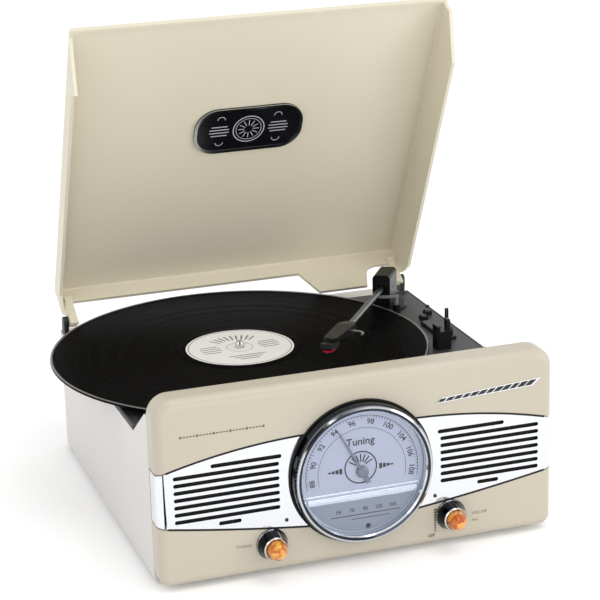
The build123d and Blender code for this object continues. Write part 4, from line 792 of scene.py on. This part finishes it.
# Tonearm: a drawn aluminium tube in a black moulded yoke that turns on a black base.
# Its headshell and carrier are moulded too. The platform that lifts it is grey, and the stylus is red.
arm_black = moulded_plastic("satin_black_abs", "0e0e0f", "141416", 0.34, 0.5, 0.015, 1.35)
dress(arm_black, "arm_yoke", "arm_carrier", "headshell", "arm_rest", "cue_lever", "arm_base", "lift_guide",
      "lever_mount", "speed_switch", "stop_switch")
dress(bare_metal("satin_arm_tube", "84878d", "717479", 0.34), "arm_tube")
grey_abs = moulded_plastic("grey_moulded_abs", "77787a", "6c6d70", 0.42)
dress(grey_abs, "lift_platform")
dress(black_abs, "cartridge")
dress(printed_ink("red_stylus_plastic", "c41f3a", 0.3), "stylus")

# Lid: a beige moulded cover on two black hinge brackets, with a black plaque inside it.
# The plaque has a bright rim and a plain deco ornament.
lid_abs = moulded_plastic("beige_lid_abs", "e1d9c4", "dcd4be", 0.36)
dress(lid_abs, "lid")
dress(black_abs, "hinge_brackets")
plaque_black = moulded_plastic("glossy_black_plaque", "0d0d10", "141418", 0.16)
dress(plaque_black, "lid_plaque")
dress(polished_steel, "lid_plaque_rim")
lid_joint = next(joint for joint in frame["joints"] if joint["name"] == "lid_hinge")
lid_open = math.radians(lid_joint["range_deg"][0])
plaque_low, plaque_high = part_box("lid_plaque")
plaque_mid = (plaque_low + plaque_high) / 2
plaque_turn = Matrix.Rotation(lid_open, 4, "X") @ Matrix.Rotation(math.pi, 4, "X")
plaque_t = 1.5


def on_plaque(x, y, proud=0.0):
    """A place on the plaque, with Y up and Z out of the lid."""
    return Matrix.Translation(plaque_mid) @ plaque_turn @ Matrix.Translation(
        (x * MM, y * MM, (plaque_t / 2 + proud) * MM))


silver_ink = printed_ink("silver_plaque_print", "b9bbc2", 0.3)
plaque_ink = 0.1 * MM
print_lift = 0.05
plaque_rays = 12
plaque_ray_mid = 6.2
bm = bmesh.new()
hoop(bm, on_plaque(0, 0, print_lift), 13.0 * MM, 0.9 * MM, plaque_ink, 64)
hoop(bm, on_plaque(0, 0, print_lift), 10.6 * MM, 0.5 * MM, plaque_ink, 64)
for i in range(plaque_rays):
    angle = math.radians(i * 360 / plaque_rays)
    centre = on_plaque(plaque_ray_mid * math.cos(angle), plaque_ray_mid * math.sin(angle), print_lift)
    bar(bm, centre @ Matrix.Rotation(angle, 4, "Z"), 5.2 * MM, 0.7 * MM, plaque_ink)
for side in (-1, 1):
    for k in range(4):
        wide = 18 - 3 * abs(k - 1.5)
        bar(bm, on_plaque(side * 25, 4.5 - k * 3.0, print_lift), wide * MM, 0.9 * MM, plaque_ink)
    hoop(bm, on_plaque(side * 24, 11.5, print_lift), 3.2 * MM, 0.6 * MM, plaque_ink, 32, math.pi, 0.0)
    hoop(bm, on_plaque(side * 24, -11.5, print_lift), 3.2 * MM, 0.6 * MM, plaque_ink, 32, math.pi, math.pi)
piece_from("plaque_ornament", bm, silver_ink, "lid")

# Rear and inner parts: the circuit board and the socket plate with its jacks.
# They are hidden in use and keep plain moulded and laminate finishes.
board_green = moulded_plastic("green_circuit_laminate", "1d5a35", "174a2b", 0.4)
dress(board_green, "main_board")
dress(black_abs, "socket_plate", "supply_inlet")
